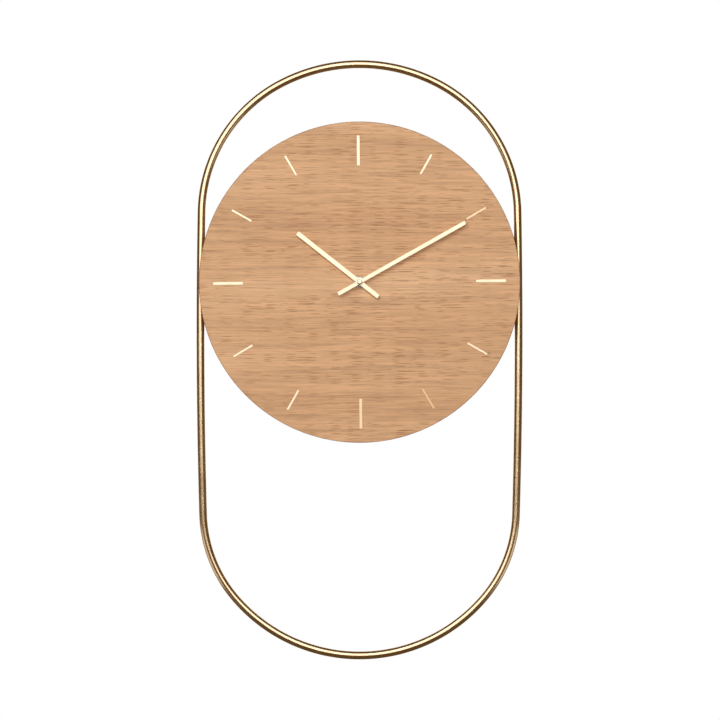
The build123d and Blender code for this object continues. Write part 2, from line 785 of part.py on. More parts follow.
def make_battery():
    axis_y = (bay_wall_bottom - inside_half) / 2
    axis_z = case_inside_front - battery_floor_gap - battery_radius
    nub_end = inside_half - contact_thickness
    shoulder = nub_end - battery_nub_length

    def along_x(radius, left, right):
        bar = Cylinder(radius, right - left, align=(Align.CENTER, Align.CENTER, Align.MIN))
        return Pos(left, axis_y, axis_z) * Rot(0, 90, 0) * bar

    negative_end = shoulder - battery_length
    body = along_x(battery_radius, negative_end, shoulder)
    body = fillet(body.edges(), battery_round)
    save("battery", body + along_x(battery_nub_radius, shoulder - battery_round, nub_end))
    low = axis_z - contact_height / 2
    high = axis_z + contact_height / 2
    y_low = axis_y - contact_width / 2
    y_high = axis_y + contact_width / 2
    save("battery_contact_plus", block(nub_end, inside_half, y_low, y_high, low, high))
    leaf = block(-inside_half, negative_end, y_low, y_high, low, high)
    leaf -= block(-inside_half + contact_thickness, negative_end - contact_thickness,
                  y_low - 1, y_high + 1, low - 1, high - contact_thickness)
    save("battery_contact_minus", leaf)


# ---- going train ----
def train_arbor(at):
    """Arbor with its two pivots, between the rear cover and the train plate."""
    bar = rod(train_arbor_radius, arbor_low, arbor_high, at)
    bar += rod(train_pivot_radius, cover_inside - cover_pivot_depth, arbor_low, at)
    return bar + rod(train_pivot_radius, arbor_high, plate_back + plate_pivot_depth, at)


def make_train():
    third_pinion_phase = third_direction + 180
    centre_phase = meshing_phase(third_pinion_phase, third_pinion_teeth, centre_teeth, third_direction + 180)
    centre = wheel(centre_teeth, centre_module, centre_phase, centre_low, centre_high)
    save("centre_wheel", centre - rod(centre_arbor_radius + running_clearance, centre_low - 1,
                                      centre_high + 1))

    third = wheel(third_teeth, third_module, second_direction, third_low, third_high, third_at)
    third += gear(third_pinion_teeth, centre_module, third_pinion_phase, third_high,
                  centre_high + pinion_overhang, third_at)
    save("third_wheel", third + train_arbor(third_at))

    second_pinion_phase = meshing_phase(
        second_direction, third_teeth, second_pinion_teeth, second_direction)
    second = wheel(second_teeth, second_module, transfer_direction, second_low, second_high, second_at)
    second += gear(second_pinion_teeth, third_module, second_pinion_phase, second_high,
                   third_high + pinion_overhang, second_at)
    save("second_wheel", second + train_arbor(second_at))

    transfer_pinion_phase = meshing_phase(
        transfer_direction, second_teeth, transfer_pinion_teeth, transfer_direction)
    transfer = wheel(transfer_teeth, transfer_module, rotor_direction, transfer_low, transfer_high,
                     transfer_at)
    transfer += gear(transfer_pinion_teeth, second_module, transfer_pinion_phase,
                     second_low - pinion_overhang, second_high + pinion_overhang, transfer_at)
    save("transfer_wheel", transfer + train_arbor(transfer_at))

    rotor_phase = meshing_phase(rotor_direction, transfer_teeth, rotor_pinion_teeth, rotor_direction)
    rotor = gear(rotor_pinion_teeth, transfer_module, rotor_phase, transfer_low - pinion_overhang,
                 transfer_high + pinion_overhang, rotor_at)
    save("rotor", rotor + train_arbor(rotor_at))
    magnet_half = rotor_magnet_length / 2
    save("rotor_magnet", tube(rotor_magnet_radius, train_arbor_radius, magnet_middle - magnet_half,
                              magnet_middle + magnet_half, rotor_at))


# ---- motion work and setting knob ----
def make_motion_work():
    cannon_phase = minute_wheel_direction
    arbor = rod(minute_arbor_radius, centre_high + clutch_spring_thickness, minute_hand_back)
    arbor += gear(cannon_teeth, cannon_module, cannon_phase, cannon_low, cannon_high)
    arbor += rod(centre_arbor_radius, arbor_low, centre_high + clutch_spring_thickness)
    arbor += rod(train_pivot_radius, cover_inside - cover_pivot_depth, arbor_low)
    arbor += rod(minute_thread_radius, minute_hand_back, minute_hand_front + cap_bore_depth - 0.1)
    save("minute_arbor", arbor)
    save("clutch_spring", tube(clutch_spring_radius, centre_arbor_radius + running_clearance,
                               centre_high, centre_high + clutch_spring_thickness))
    save("clutch_collar", tube(clutch_collar_radius, centre_arbor_radius,
                               centre_low - clutch_collar_thickness, centre_low))

    wheel_phase = meshing_phase(
        cannon_phase, cannon_teeth, minute_wheel_teeth, minute_wheel_direction)
    to_hour = minute_wheel_direction + 180
    minute = wheel(minute_wheel_teeth, cannon_module, wheel_phase, minute_wheel_low, minute_wheel_high,
                   minute_wheel_at)
    minute += gear(minute_pinion_teeth, hour_module, to_hour, minute_wheel_high,
                   hour_wheel_high + minute_pinion_overhang, minute_wheel_at)
    minute += rod(motion_arbor_radius, plate_front + axial_gap, case_inside_front - axial_gap,
                  minute_wheel_at)
    minute += rod(motion_pivot_radius, plate_front - plate_pivot_depth,
                  case_inside_front + case_wall / 2 - axial_gap, minute_wheel_at)
    save("minute_wheel", minute)

    hour_phase = meshing_phase(to_hour, minute_pinion_teeth, hour_teeth, to_hour)
    hour = wheel(hour_teeth, hour_module, hour_phase, hour_wheel_low, hour_wheel_high)
    hour += rod(hour_pipe_radius, hour_wheel_low, hour_hand_back)
    save("hour_wheel", hour - rod(hour_pipe_bore_radius, hour_wheel_low - 1, hour_hand_front + 1))

    knob_phase = meshing_phase(wheel_phase, minute_wheel_teeth, knob_pinion_teeth, knob_direction)
    knob = gear(knob_pinion_teeth, cannon_module, knob_phase, cannon_low, cannon_high, knob_at)
    knob += rod(knob_shaft_radius, case_back - knob_cover_gap - knob_thickness / 2,
                case_inside_front - axial_gap, knob_at)
    knob += rod(motion_pivot_radius, case_inside_front - axial_gap,
                case_inside_front + case_wall / 2 - axial_gap, knob_at)
    knob_high = case_back - knob_cover_gap
    grip = rod(knob_radius, knob_high - knob_thickness, knob_high, knob_at)
    for ridge in range(knob_ridges):
        spot = polar(knob_radius, ridge * 360 / knob_ridges, knob_at)
        grip -= rod(knob_ridge_depth, knob_high - knob_thickness - 1, knob_high + 1, spot)
    save("setting_knob", knob + grip)


# ---- hands ----
def baton(length, tail, width, low, high, angle):
    """Straight flat hand with square ends, turned about the axis."""
    bar = block(-tail, length, -width / 2, width / 2, low, high)
    return Rot(0, 0, angle) * bar


def make_hands():
    hour = baton(hour_hand_length, hour_hand_tail, hour_hand_width, hour_hand_back, hour_hand_front,
                 hour_hand_angle)
    save("hour_hand", hour - rod(hour_pipe_bore_radius, hour_hand_back - 1, hour_hand_front + 1))
    hub_back = hour_hand_back - hour_hub_thickness
    hub = rod(hour_hub_radius, hub_back, hour_hand_back)
    hub += rod(hour_pipe_radius + collet_wall, hour_hand_back - collet_length, hub_back)
    save("hour_hand_hub", hub - rod(hour_pipe_radius, bush_front, hour_hand_back + 1))
    minute = baton(minute_hand_length, minute_hand_tail, minute_hand_width, minute_hand_back,
                   minute_hand_front, minute_hand_angle)
    hole = minute_thread_radius + running_clearance
    save("minute_hand", minute - rod(hole, minute_hand_back - 1, minute_hand_front + 1))
    cap = rod(cap_radius, minute_hand_front, minute_hand_front + cap_height)
    cap = fillet(cap.faces().sort_by(Axis.Z)[-1].edges(), cap_round)
    save("hand_nut", cap - rod(hole, minute_hand_front - 1, minute_hand_front + cap_bore_depth))


os.makedirs("parts", exist_ok=True)
make_dial()
make_markers()
make_loop()
make_clamps()
make_hanger()
make_bumpers()
make_front_case()
make_rear_cover()
make_train_plate()
make_bush_stack()
make_motor()
make_board()
make_battery()
make_train()
make_motion_work()
make_hands()
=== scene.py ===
# %% [markdown]
# # A wall clock in a tall brass loop
# The clock is a round oak-veneered dial held in a long closed loop of brass-plated rod.
# Its working parts come from the CAD model, which is loaded first as a fixed frame.
# Everything after that either gives a CAD part its real finish or models a finer piece to stand in its place.

# %% Load the frame
import json
import math

import bmesh
import bpy
from mathutils import Matrix, Vector


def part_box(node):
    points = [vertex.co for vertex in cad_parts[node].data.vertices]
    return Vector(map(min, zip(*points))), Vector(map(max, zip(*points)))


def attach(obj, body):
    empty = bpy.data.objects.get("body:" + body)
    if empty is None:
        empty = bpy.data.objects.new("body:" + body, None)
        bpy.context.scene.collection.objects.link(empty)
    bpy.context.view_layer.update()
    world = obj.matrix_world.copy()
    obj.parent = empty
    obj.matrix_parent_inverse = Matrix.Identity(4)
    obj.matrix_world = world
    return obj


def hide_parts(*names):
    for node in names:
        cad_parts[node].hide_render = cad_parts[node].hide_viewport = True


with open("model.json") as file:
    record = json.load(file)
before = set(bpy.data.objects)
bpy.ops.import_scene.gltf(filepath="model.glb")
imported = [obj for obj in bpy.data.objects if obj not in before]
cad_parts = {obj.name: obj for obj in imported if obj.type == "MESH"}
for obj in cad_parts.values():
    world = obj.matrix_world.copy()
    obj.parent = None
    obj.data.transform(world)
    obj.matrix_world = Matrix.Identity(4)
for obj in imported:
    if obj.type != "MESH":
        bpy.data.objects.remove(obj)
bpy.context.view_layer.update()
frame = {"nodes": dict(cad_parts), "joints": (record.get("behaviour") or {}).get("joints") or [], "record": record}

bpy.ops.object.select_all(action="DESELECT")

# %% [markdown]
# All sizes below are written in millimetres, because that is how a clockmaker would write them, and they
# are turned to Blender's metres by one small factor. The hands turn about one line, so that line's place is
# read from the frame's own joint instead of being typed again.

# %% Millimetres and the hands' axis
mm = 0.001
hands_joint = next(joint for joint in frame["joints"] if joint["name"] == "minute_hand_turn")
axis_z = hands_joint["pos_m"][2]
dial_low, dial_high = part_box("face_veneer")
dial_radius = (dial_high.x - dial_low.x) / 2
dial_front = dial_low.y
print("hands' axis at z", axis_z, "dial radius", round(dial_radius, 5), "dial front", round(dial_front, 5))

# %% [markdown]
# The camera looks straight at the dial, as somebody standing in front of the wall would. A long lens from
# four metres keeps the loop's two legs parallel, which a short lens from nearby would spread. The frame is
# centred a little below the dial, so that the whole loop is inside it.

# %% Camera
lens_length = 200.0
film_width = 36.0
framed_width = 0.720
step_forward = 0.008
aim_right, aim_below_axis = 0.00045, 0.0777
camera_data = bpy.data.cameras.new("front_camera")
camera_data.lens = lens_length
camera_data.sensor_width = film_width
camera = bpy.data.objects.new("front_camera", camera_data)
bpy.context.scene.collection.objects.link(camera)
camera_distance = framed_width * lens_length / film_width - step_forward
camera.location = (aim_right, dial_front - camera_distance, axis_z - aim_below_axis)
camera.rotation_euler = (math.radians(90), 0, 0)
bpy.context.scene.camera = camera
print("camera", [round(value, 4) for value in camera.location])

# %% [markdown]
# The light is that of a product studio, which lights wood and metal apart. Soft lamps high on the left and
# in front brighten the wood and give the hands their faint shadow, but are hidden from reflections. What
# the metal mirrors are panels that the wood doesn't see: a wide one high in front, a faint one straight
# ahead, a wide one behind, and two low ones at the sides, below the level at which the front view's flanks
# would show them. The rest of the room is a dim warm brown, so the round rod has a pale line along its
# middle and dark flanks. Lamps behind and beside the clock are there for whoever walks round it. The
# background is white only for the camera's eye.

# %% Lights and surroundings
clock_middle = Vector((0.0, 0.0, axis_z - 0.08))


def soft_panel(name, azimuth, height, distance, size, power, lights_wood=True, seen_in_metal=True,
               colour=(1.0, 1.0, 1.0)):
    """A rectangular lamp that faces the clock. Azimuth 0 is in front and positive to the right, in degrees."""
    data = bpy.data.lights.new(name, "AREA")
    data.shape = "RECTANGLE"
    data.size, data.size_y = size
    data.energy, data.color = power, colour
    panel = bpy.data.objects.new(name, data)
    bpy.context.scene.collection.objects.link(panel)
    turn, lift = math.radians(azimuth), math.radians(height)
    away = Vector((math.sin(turn) * math.cos(lift), -math.cos(turn) * math.cos(lift), math.sin(lift)))
    panel.location = clock_middle + away * distance
    panel.rotation_euler = (-away).to_track_quat("-Z", "Y").to_euler()
    panel.visible_camera = False
    panel.visible_diffuse = lights_wood
    panel.visible_glossy = seen_in_metal


soft_panel("key_lamp", -20, 23, 3.0, (1.2, 1.2), 36.0, seen_in_metal=False, colour=(1.0, 0.985, 0.96))
soft_panel("fill_lamp", 2, 9, 4.4, (2.2, 2.2), 90.0, seen_in_metal=False)
soft_panel("metal_panel", -8, 26.5, 3.5, (5.4, 3.6), 118.0, lights_wood=False)
soft_panel("front_panel", 0, 9, 4.4, (1.5, 1.5), 5.0, lights_wood=False)
soft_panel("rear_lamp", 172, 20, 3.4, (1.8, 1.8), 78.0, seen_in_metal=False)
soft_panel("rear_metal_panel", 180, 0, 3.6, (7.0, 4.6), 96.0, lights_wood=False)
soft_panel("right_low_panel", 78, -24, 3.0, (3.0, 1.3), 8.5, lights_wood=False)
soft_panel("left_low_panel", -78, -24, 3.0, (3.0, 1.3), 8.5, lights_wood=False)
soft_panel("right_lamp", 96, 20, 3.0, (1.6, 1.6), 9.0, seen_in_metal=False)
soft_panel("left_lamp", -96, 20, 3.0, (1.6, 1.6), 9.0, seen_in_metal=False)

world = bpy.data.worlds.new("studio")
bpy.context.scene.world = world
world.use_nodes = True
world.node_tree.nodes.clear()
sky_nodes, sky_links = world.node_tree.nodes, world.node_tree.links


def backdrop(colour, strength):
    made = sky_nodes.new("ShaderNodeBackground")
    made.inputs["Color"].default_value = colour
    made.inputs["Strength"].default_value = strength
    return made


dim_brown_room = backdrop((1.0, 0.60, 0.27, 1.0), 0.12)
white_paper = backdrop((1.0, 1.0, 1.0, 1.0), 1.0)
ray = sky_nodes.new("ShaderNodeLightPath")
seen = sky_nodes.new("ShaderNodeMixShader")
sky_out = sky_nodes.new("ShaderNodeOutputWorld")
sky_links.new(ray.outputs["Is Camera Ray"], seen.inputs[0])
sky_links.new(dim_brown_room.outputs[0], seen.inputs[1])
sky_links.new(white_paper.outputs[0], seen.inputs[2])
sky_links.new(seen.outputs[0], sky_out.inputs["Surface"])
bpy.context.scene.view_settings.view_transform = "Standard"
print("lights:", [lamp.name for lamp in bpy.data.lights])

# %% [markdown]
# Each finish below is a small network of nodes. The helper puts one node down and fills its sockets: a
# number or colour is set on the socket, and another node's output is linked to it. Colours are written as a
# paint chart gives them, from 0 to 255, and are turned to the linear values that light is reckoned in.

# %% Node helpers
def paint(red, green, blue):
    def linear(value):
        value /= 255
        return value / 12.92 if value <= 0.04045 else ((value + 0.055) / 1.055) ** 2.4
    return (linear(red), linear(green), linear(blue), 1.0)


def fill(tree, socket, value):
    if isinstance(value, bpy.types.NodeSocket):
        tree.links.new(value, socket)
    else:
        socket.default_value = value


def put(tree, kind, inputs=None, **options):
    made = tree.nodes.new("ShaderNode" + kind)
    for name, value in options.items():
        setattr(made, name, value)
    for name, value in (inputs or {}).items():
        fill(tree, made.inputs[name], value)
    return made


def new_finish(name, metallic=0.0, **constants):
    material = bpy.data.materials.new(name)
    material.use_nodes = True
    tree = material.node_tree
    shader = tree.nodes["Principled BSDF"]
    shader.inputs["Metallic"].default_value = metallic
    for socket, value in constants.items():
        shader.inputs[socket.replace("_", " ")].default_value = value
    return material, tree, shader


def place_pattern(tree, stretch, shift=(0.0, 0.0, 0.0), source=None):
    source = source or put(tree, "TexCoord").outputs["Object"]
    return put(tree, "Mapping", {"Vector": source, "Scale": stretch, "Location": shift}).outputs["Vector"]


def noise(tree, place, scale=1.0, detail=3.0, roughness=0.5, distortion=0.0):
    return put(tree, "TexNoise", {"Vector": place, "Scale": scale, "Detail": detail, "Roughness": roughness,
                                  "Distortion": distortion}).outputs["Fac"]


def ramp(tree, value, *stops):
    made = put(tree, "ValToRGB", {"Fac": value})
    stripes = made.color_ramp.elements
    while len(stripes) < len(stops):
        stripes.new(1.0)
    for stripe, (position, colour) in zip(stripes, stops):
        stripe.position = position
        stripe.color = colour if len(colour) == 4 else (*colour, 1.0)
    return made.outputs["Color"]


def grey(level):
    return (level, level, level, 1.0)


def blend_colours(tree, share, first, second, how="MIX"):
    made = put(tree, "Mix", data_type="RGBA", blend_type=how)
    fill(tree, made.inputs[0], share)
    fill(tree, made.inputs[6], first)
    fill(tree, made.inputs[7], second)
    return made.outputs[2]


def sum_of(tree, first, second, how="ADD"):
    made = put(tree, "Math", operation=how)
    fill(tree, made.inputs[0], first)
    fill(tree, made.inputs[1], second)
    return made.outputs[0]


def roughen(tree, shader, height, depth, strength):
    made = put(tree, "Bump", {"Height": height, "Distance": depth, "Strength": strength})
    tree.links.new(made.outputs["Normal"], shader.inputs["Normal"])


def cover(tree, shader, colour, roughness=None):
    """Link a finish's colour, and its roughness if it has one, to the shader."""
    tree.links.new(colour, shader.inputs["Base Color"])
    if roughness is not None:
        tree.links.new(roughness, shader.inputs["Roughness"])


print("node helpers ready")

# %% [markdown]
# Oak veneer is the largest surface of the clock. The real sheet is sliced from the log, so its growth rings
# show as soft bands that run across the dial, and its open pores as short dark dashes along them. The
# pattern is built in that order: bands some centimetres tall, streaks a few millimetres tall, fine fibres,
# and then pores that are cut in both in colour and in depth. The grain runs along X, so every noise is
# stretched along X.

# %% Oak veneer
pore_depth = 0.12 * mm
even = (1.0, 1.0, 1.0)
axis_to_origin = (0.0, 0.0, -axis_z)


def oak_colours(tree, shader, place):
    """Bands, streaks, fibres and pores for grain that runs along the first coordinate."""
    wander = noise(tree, put(tree, "Mapping", {"Vector": place, "Scale": (2.6, 2.6, 5.0)}).outputs[0],
                   detail=2.0)
    lift = sum_of(tree, sum_of(tree, wander, 0.5, "SUBTRACT"), 0.014, "MULTIPLY")
    parts = put(tree, "SeparateXYZ", {"Vector": place})
    height = sum_of(tree, parts.outputs["Z"], lift)
    waved = put(tree, "CombineXYZ", {"X": parts.outputs["X"], "Y": parts.outputs["Y"], "Z": height}).outputs[0]

    def grained(along, across, **how):
        stretched = put(tree, "Mapping", {"Vector": waved, "Scale": (along, across, across)}).outputs[0]
        return noise(tree, stretched, **how)

    def pore_dashes(along, across, shortest, longest):
        """One dash in each cell of a stretched pattern, of a size that differs from cell to cell."""
        spot = put(tree, "CombineXYZ", {"X": sum_of(tree, parts.outputs["X"], along, "MULTIPLY"),
                                        "Y": sum_of(tree, height, across, "MULTIPLY")}).outputs[0]
        cell = put(tree, "TexVoronoi", {"Vector": spot, "Scale": 1.0}, voronoi_dimensions="2D")
        chance = put(tree, "SeparateColor", {"Color": cell.outputs["Color"]}).outputs[0]
        size = put(tree, "MapRange", {"Value": chance, "To Min": shortest, "To Max": longest}).outputs["Result"]
        inside = sum_of(tree, size, cell.outputs["Distance"], "SUBTRACT")
        return put(tree, "MapRange", {"Value": inside, "From Max": 0.07}).outputs["Result"]

    bands = grained(2.6, 21.0, detail=2.0, roughness=0.45)
    colour = ramp(tree, bands, (0.28, paint(205, 160, 120)), (0.43, paint(211, 167, 126)),
                  (0.55, paint(215, 171, 130)), (0.72, paint(222, 181, 141)))
    streaks = grained(8.0, 190.0, detail=3.0, roughness=0.6)
    colour = blend_colours(tree, 0.70, colour, ramp(tree, streaks, (0.28, grey(0.79)), (0.50, grey(1.0)),
                                                    (0.74, grey(1.13))), "MULTIPLY")
    fibres = grained(24.0, 760.0, detail=2.0, roughness=0.6)
    colour = blend_colours(tree, 0.75, colour, ramp(tree, fibres, (0.28, grey(0.76)), (0.72, grey(1.18))),
                           "MULTIPLY")
    rings = grained(3.0, 60.0, detail=1.0)
    crowding = ramp(tree, rings, (0.36, grey(0.35)), (0.60, grey(1.0)))
    short_pores = pore_dashes(46.0, 640.0, 0.0, 0.30)
    long_pores = pore_dashes(20.0, 400.0, -0.12, 0.24)
    pores = sum_of(tree, sum_of(tree, short_pores, long_pores, "MAXIMUM"), crowding, "MULTIPLY")
    colour = blend_colours(tree, sum_of(tree, pores, 0.62, "MULTIPLY"), colour, paint(150, 102, 64))
    cover(tree, shader, colour, ramp(tree, pores, (0.0, grey(0.56)), (1.0, grey(0.80))))
    relief = sum_of(tree, sum_of(tree, fibres, 0.22, "MULTIPLY"), pores, "SUBTRACT")
    roughen(tree, shader, relief, pore_depth, 0.55)
    return colour


oak_face, tree, shader = new_finish("oak_face", Specular_IOR_Level=0.28)
from_axis = place_pattern(tree, even, axis_to_origin)
face_colour = oak_colours(tree, shader, from_axis)
# The outermost millimetre of the face is blended towards dark brown: painted shade that stands in for the light
# falling off at the dial's edge.
flat_place = put(tree, "Mapping", {"Vector": from_axis, "Scale": (1.0, 0.0, 1.0)}).outputs[0]
out_from_axis = put(tree, "VectorMath", {0: flat_place}, operation="LENGTH").outputs["Value"]
rim = put(tree, "MapRange", {"Value": out_from_axis, "From Min": dial_radius - 0.9 * mm,
                             "From Max": dial_radius - 0.25 * mm}).outputs["Result"]
face_colour = blend_colours(tree, sum_of(tree, rim, 0.62, "MULTIPLY"), face_colour, paint(112, 72, 42))
cover(tree, shader, face_colour)
print("oak face:", len(tree.nodes), "nodes")

# %% [markdown]
# The dial's edge is covered with a narrow band of the same veneer, bent round it, so its grain follows the
# circumference. The pattern therefore runs on the angle round the hands' axis, multiplied by the radius to
# keep the pores at their true length. The one place where the angle starts again is where a real band is
# butted.

# %% Oak edge band
oak_edge, tree, shader = new_finish("oak_edge", Specular_IOR_Level=0.28)
about_axis = put(tree, "SeparateXYZ", {"Vector": place_pattern(tree, even, axis_to_origin)})
turn = sum_of(tree, about_axis.outputs["X"], about_axis.outputs["Z"], "ARCTAN2")
run = sum_of(tree, turn, dial_radius, "MULTIPLY")
band_place = put(tree, "CombineXYZ", {"X": run, "Y": 0.31, "Z": about_axis.outputs["Y"]}).outputs[0]
band_colour = oak_colours(tree, shader, band_place)
# The band's colour is multiplied by 0.64: painted shade, so the edge and its mirror image in the rod's inner side
# read dark, as if in shadow.
cover(tree, shader, blend_colours(tree, 1.0, band_colour, grey(0.64), "MULTIPLY"))
print("oak edge:", len(tree.nodes), "nodes")

# %% [markdown]
# Behind the veneer is medium-density fibreboard. It is pressed from ground wood, so it has no grain, only a
# fine felt of pale and dark fibres and a soft bump where it was sanded.

# %% Fibreboard
fibreboard, tree, shader = new_finish("fibreboard", Specular_IOR_Level=0.2)
place = place_pattern(tree, even)
clouds = noise(tree, place, 38.0, 4.0, 0.6)
felt = noise(tree, place, 1700.0, 3.0, 0.7)
specks = noise(tree, place, 820.0, 1.0, 0.5)
colour = ramp(tree, clouds, (0.3, paint(186, 150, 110)), (0.7, paint(196, 160, 119)))
colour = blend_colours(tree, 0.55, colour, ramp(tree, felt, (0.3, grey(0.70)), (0.7, grey(1.22))), "MULTIPLY")
colour = blend_colours(tree, ramp(tree, specks, (0.66, grey(0.0)), (0.72, grey(0.6))), colour,
                       paint(104, 74, 46))
cover(tree, shader, colour, ramp(tree, felt, (0.3, grey(0.72)), (0.7, grey(0.90))))
roughen(tree, shader, felt, 0.10 * mm, 0.6)
print("fibreboard:", len(tree.nodes), "nodes")

# %% [markdown]
# The metals share one recipe: a metallic shader whose colour wavers a little, brushing lines that are far
# longer than they are wide, and a finer haze in the roughness. The loop, the markers and the hands are
# brushed along their length, so they read maps of their own. The pale gold of the hands and markers is
# anodised: light comes back from inside that layer too, so its shader is only partly metallic and stays
# bright from the side.

# %% Brushed and turned metals
def brushed_metal(name, deep, pale, rough, along, across, line_depth, own_map=None, metallic=1.0):
    """Brushed metal. The lines are so many to the metre along and across, and line_depth deep in millimetres."""
    material, tree, shader = new_finish(name, metallic)
    source = put(tree, "UVMap", uv_map=own_map).outputs["UV"] if own_map else None
    lines = noise(tree, place_pattern(tree, (along, across, across), source=source), detail=3.0, roughness=0.6)
    haze = noise(tree, place_pattern(tree, even), 55.0, 3.0, 0.5)
    colour = ramp(tree, sum_of(tree, sum_of(tree, lines, haze), 0.5, "MULTIPLY"), (0.34, deep), (0.62, pale))
    wear = sum_of(tree, sum_of(tree, lines, 0.10, "MULTIPLY"), sum_of(tree, haze, 0.08, "MULTIPLY"))
    cover(tree, shader, colour, sum_of(tree, wear, rough - 0.09))
    roughen(tree, shader, lines, line_depth * mm, 0.5)
    return material


satin_brass = brushed_metal("satin_brass", paint(222, 193, 152), paint(240, 216, 178), 0.22, 26.0, 5200.0,
                            0.0006, "along_rod")
satin_plate = brushed_metal("satin_brass_plate", paint(224, 193, 146), paint(240, 214, 170), 0.30, 26.0, 3600.0,
                            0.010)
champagne = brushed_metal("champagne_metal", paint(244, 224, 188), paint(255, 241, 212), 0.31, 60.0, 2200.0,
                          0.004, "along_bar", 0.28)
cap_metal = brushed_metal("champagne_cap", paint(222, 204, 168), paint(240, 224, 192), 0.26, 60.0, 2200.0, 0.004)
zinc_steel = brushed_metal("zinc_steel", paint(176, 178, 182), paint(206, 208, 210), 0.34, 90.0, 2600.0, 0.012)
turned_brass = brushed_metal("turned_brass", paint(196, 154, 82), paint(224, 186, 112), 0.26, 4200.0, 700.0,
                             0.010)
nickel = brushed_metal("nickel_contact", paint(190, 186, 176), paint(214, 210, 200), 0.22, 140.0, 2600.0, 0.008)

tree = champagne.node_tree
shader = tree.nodes["Principled BSDF"]
tone = put(tree, "Attribute", attribute_name="gold_tone").outputs["Fac"]
pale_gold = shader.inputs["Base Color"].links[0].from_socket
cover(tree, shader, blend_colours(tree, tone, pale_gold, paint(232, 182, 130)))
print("metals:", [metal.name for metal in (satin_brass, satin_plate, champagne, cap_metal, zinc_steel,
                                           turned_brass, nickel)])

# %% [markdown]
# Turned faces carry fine rings round their centre instead of straight lines. The rings come from the
# distance to the hands' axis, which is where a lathe's tool travels.

# %% Steel with turned rings
turned_steel, tree, shader = new_finish("turned_steel", 1.0)
place = place_pattern(tree, (1.0, 0.0, 1.0), axis_to_origin)
radius = put(tree, "VectorMath", {0: place}, operation="LENGTH").outputs["Value"]
rings = noise(tree, put(tree, "CombineXYZ", {"X": sum_of(tree, radius, 9000.0, "MULTIPLY")}).outputs[0],
              detail=2.0)
haze = noise(tree, place_pattern(tree, even), 420.0, 3.0)
colour = ramp(tree, sum_of(tree, sum_of(tree, rings, haze), 0.5, "MULTIPLY"),
              (0.35, paint(150, 152, 156)), (0.65, paint(196, 197, 200)))
cover(tree, shader, colour, ramp(tree, haze, (0.3, grey(0.16)), (0.7, grey(0.26))))
roughen(tree, shader, rings, 0.010 * mm, 0.6)
print("turned steel:", len(tree.nodes), "nodes")

# %% [markdown]
# The plastics and the rubber are moulded. The case has the fine spark texture of an eroded steel mould, the
# wheels are smooth white acetal with faint flow marks, and the bumpers are a dull rubber. One recipe serves
# them: a cloudy colour, a grain of the right size for the bump, and a roughness that follows it.

# %% Moulded finishes
def moulded(name, deep, pale, rough_low, rough_high, grain, depth, **constants):
    """A moulded skin whose grain is so many to the metre, and depth deep in millimetres."""
    material, tree, shader = new_finish(name, **constants)
    place = place_pattern(tree, even)
    clouds = noise(tree, place, 70.0, 3.0, 0.55)
    skin = noise(tree, place, grain, 2.0, 0.6)
    cover(tree, shader, ramp(tree, clouds, (0.3, deep), (0.7, pale)),
          ramp(tree, skin, (0.3, grey(rough_low)), (0.7, grey(rough_high))))
    roughen(tree, shader, skin, depth * mm, 0.6)
    return material


black_case = moulded("black_case_plastic", paint(30, 30, 32), paint(40, 40, 43), 0.42, 0.62, 2400.0, 0.06)
white_acetal = moulded("white_gear_plastic", paint(226, 225, 218), paint(238, 237, 231), 0.28, 0.42, 900.0, 0.01,
                       Subsurface_Weight=0.06)
black_rubber = moulded("black_rubber", paint(26, 26, 27), paint(38, 38, 39), 0.70, 0.92, 1500.0, 0.05)
chip_resin = moulded("chip_resin", paint(20, 20, 22), paint(32, 32, 34), 0.25, 0.45, 1300.0, 0.03)
magnet_black = moulded("magnet_black", paint(44, 44, 46), paint(60, 60, 63), 0.38, 0.60, 1900.0, 0.04)
print("moulded finishes ready")

# %% [markdown]
# Four finishes are found only inside the movement: the enamelled copper of the coil, whose turns lie side
# by side along the bobbin, the green laminate of the circuit board with its paler tracks, the battery's
# metal sleeve with plain bands, and the bare steel of its ends. The bands follow X, because the battery
# lies along X.

# %% Copper, laminate and battery sleeve
copper, tree, shader = new_finish("enamelled_copper", 1.0, Coat_Weight=0.5, Coat_Roughness=0.15)
turns = put(tree, "TexWave", {"Vector": place_pattern(tree, even), "Scale": 1250.0,
                              "Distortion": 0.6, "Detail": 1.0, "Detail Scale": 2.0},
            bands_direction="Z").outputs["Fac"]
cover(tree, shader, ramp(tree, turns, (0.1, paint(118, 54, 24)), (0.8, paint(206, 118, 66))),
      ramp(tree, turns, (0.0, grey(0.42)), (1.0, grey(0.24))))
roughen(tree, shader, turns, 0.06 * mm, 0.8)

laminate, tree, shader = new_finish("board_laminate", Coat_Weight=0.4, Coat_Roughness=0.2)
cells = put(tree, "TexVoronoi", {"Vector": place_pattern(tree, even), "Scale": 420.0},
            feature="DISTANCE_TO_EDGE").outputs["Distance"]
weave = noise(tree, place_pattern(tree, even), 1500.0, 2.0)
cover(tree, shader, ramp(tree, cells, (0.10, paint(58, 122, 70)), (0.16, paint(24, 78, 44))),
      ramp(tree, weave, (0.3, grey(0.32)), (0.7, grey(0.46))))
roughen(tree, shader, cells, 0.03 * mm, 0.5)

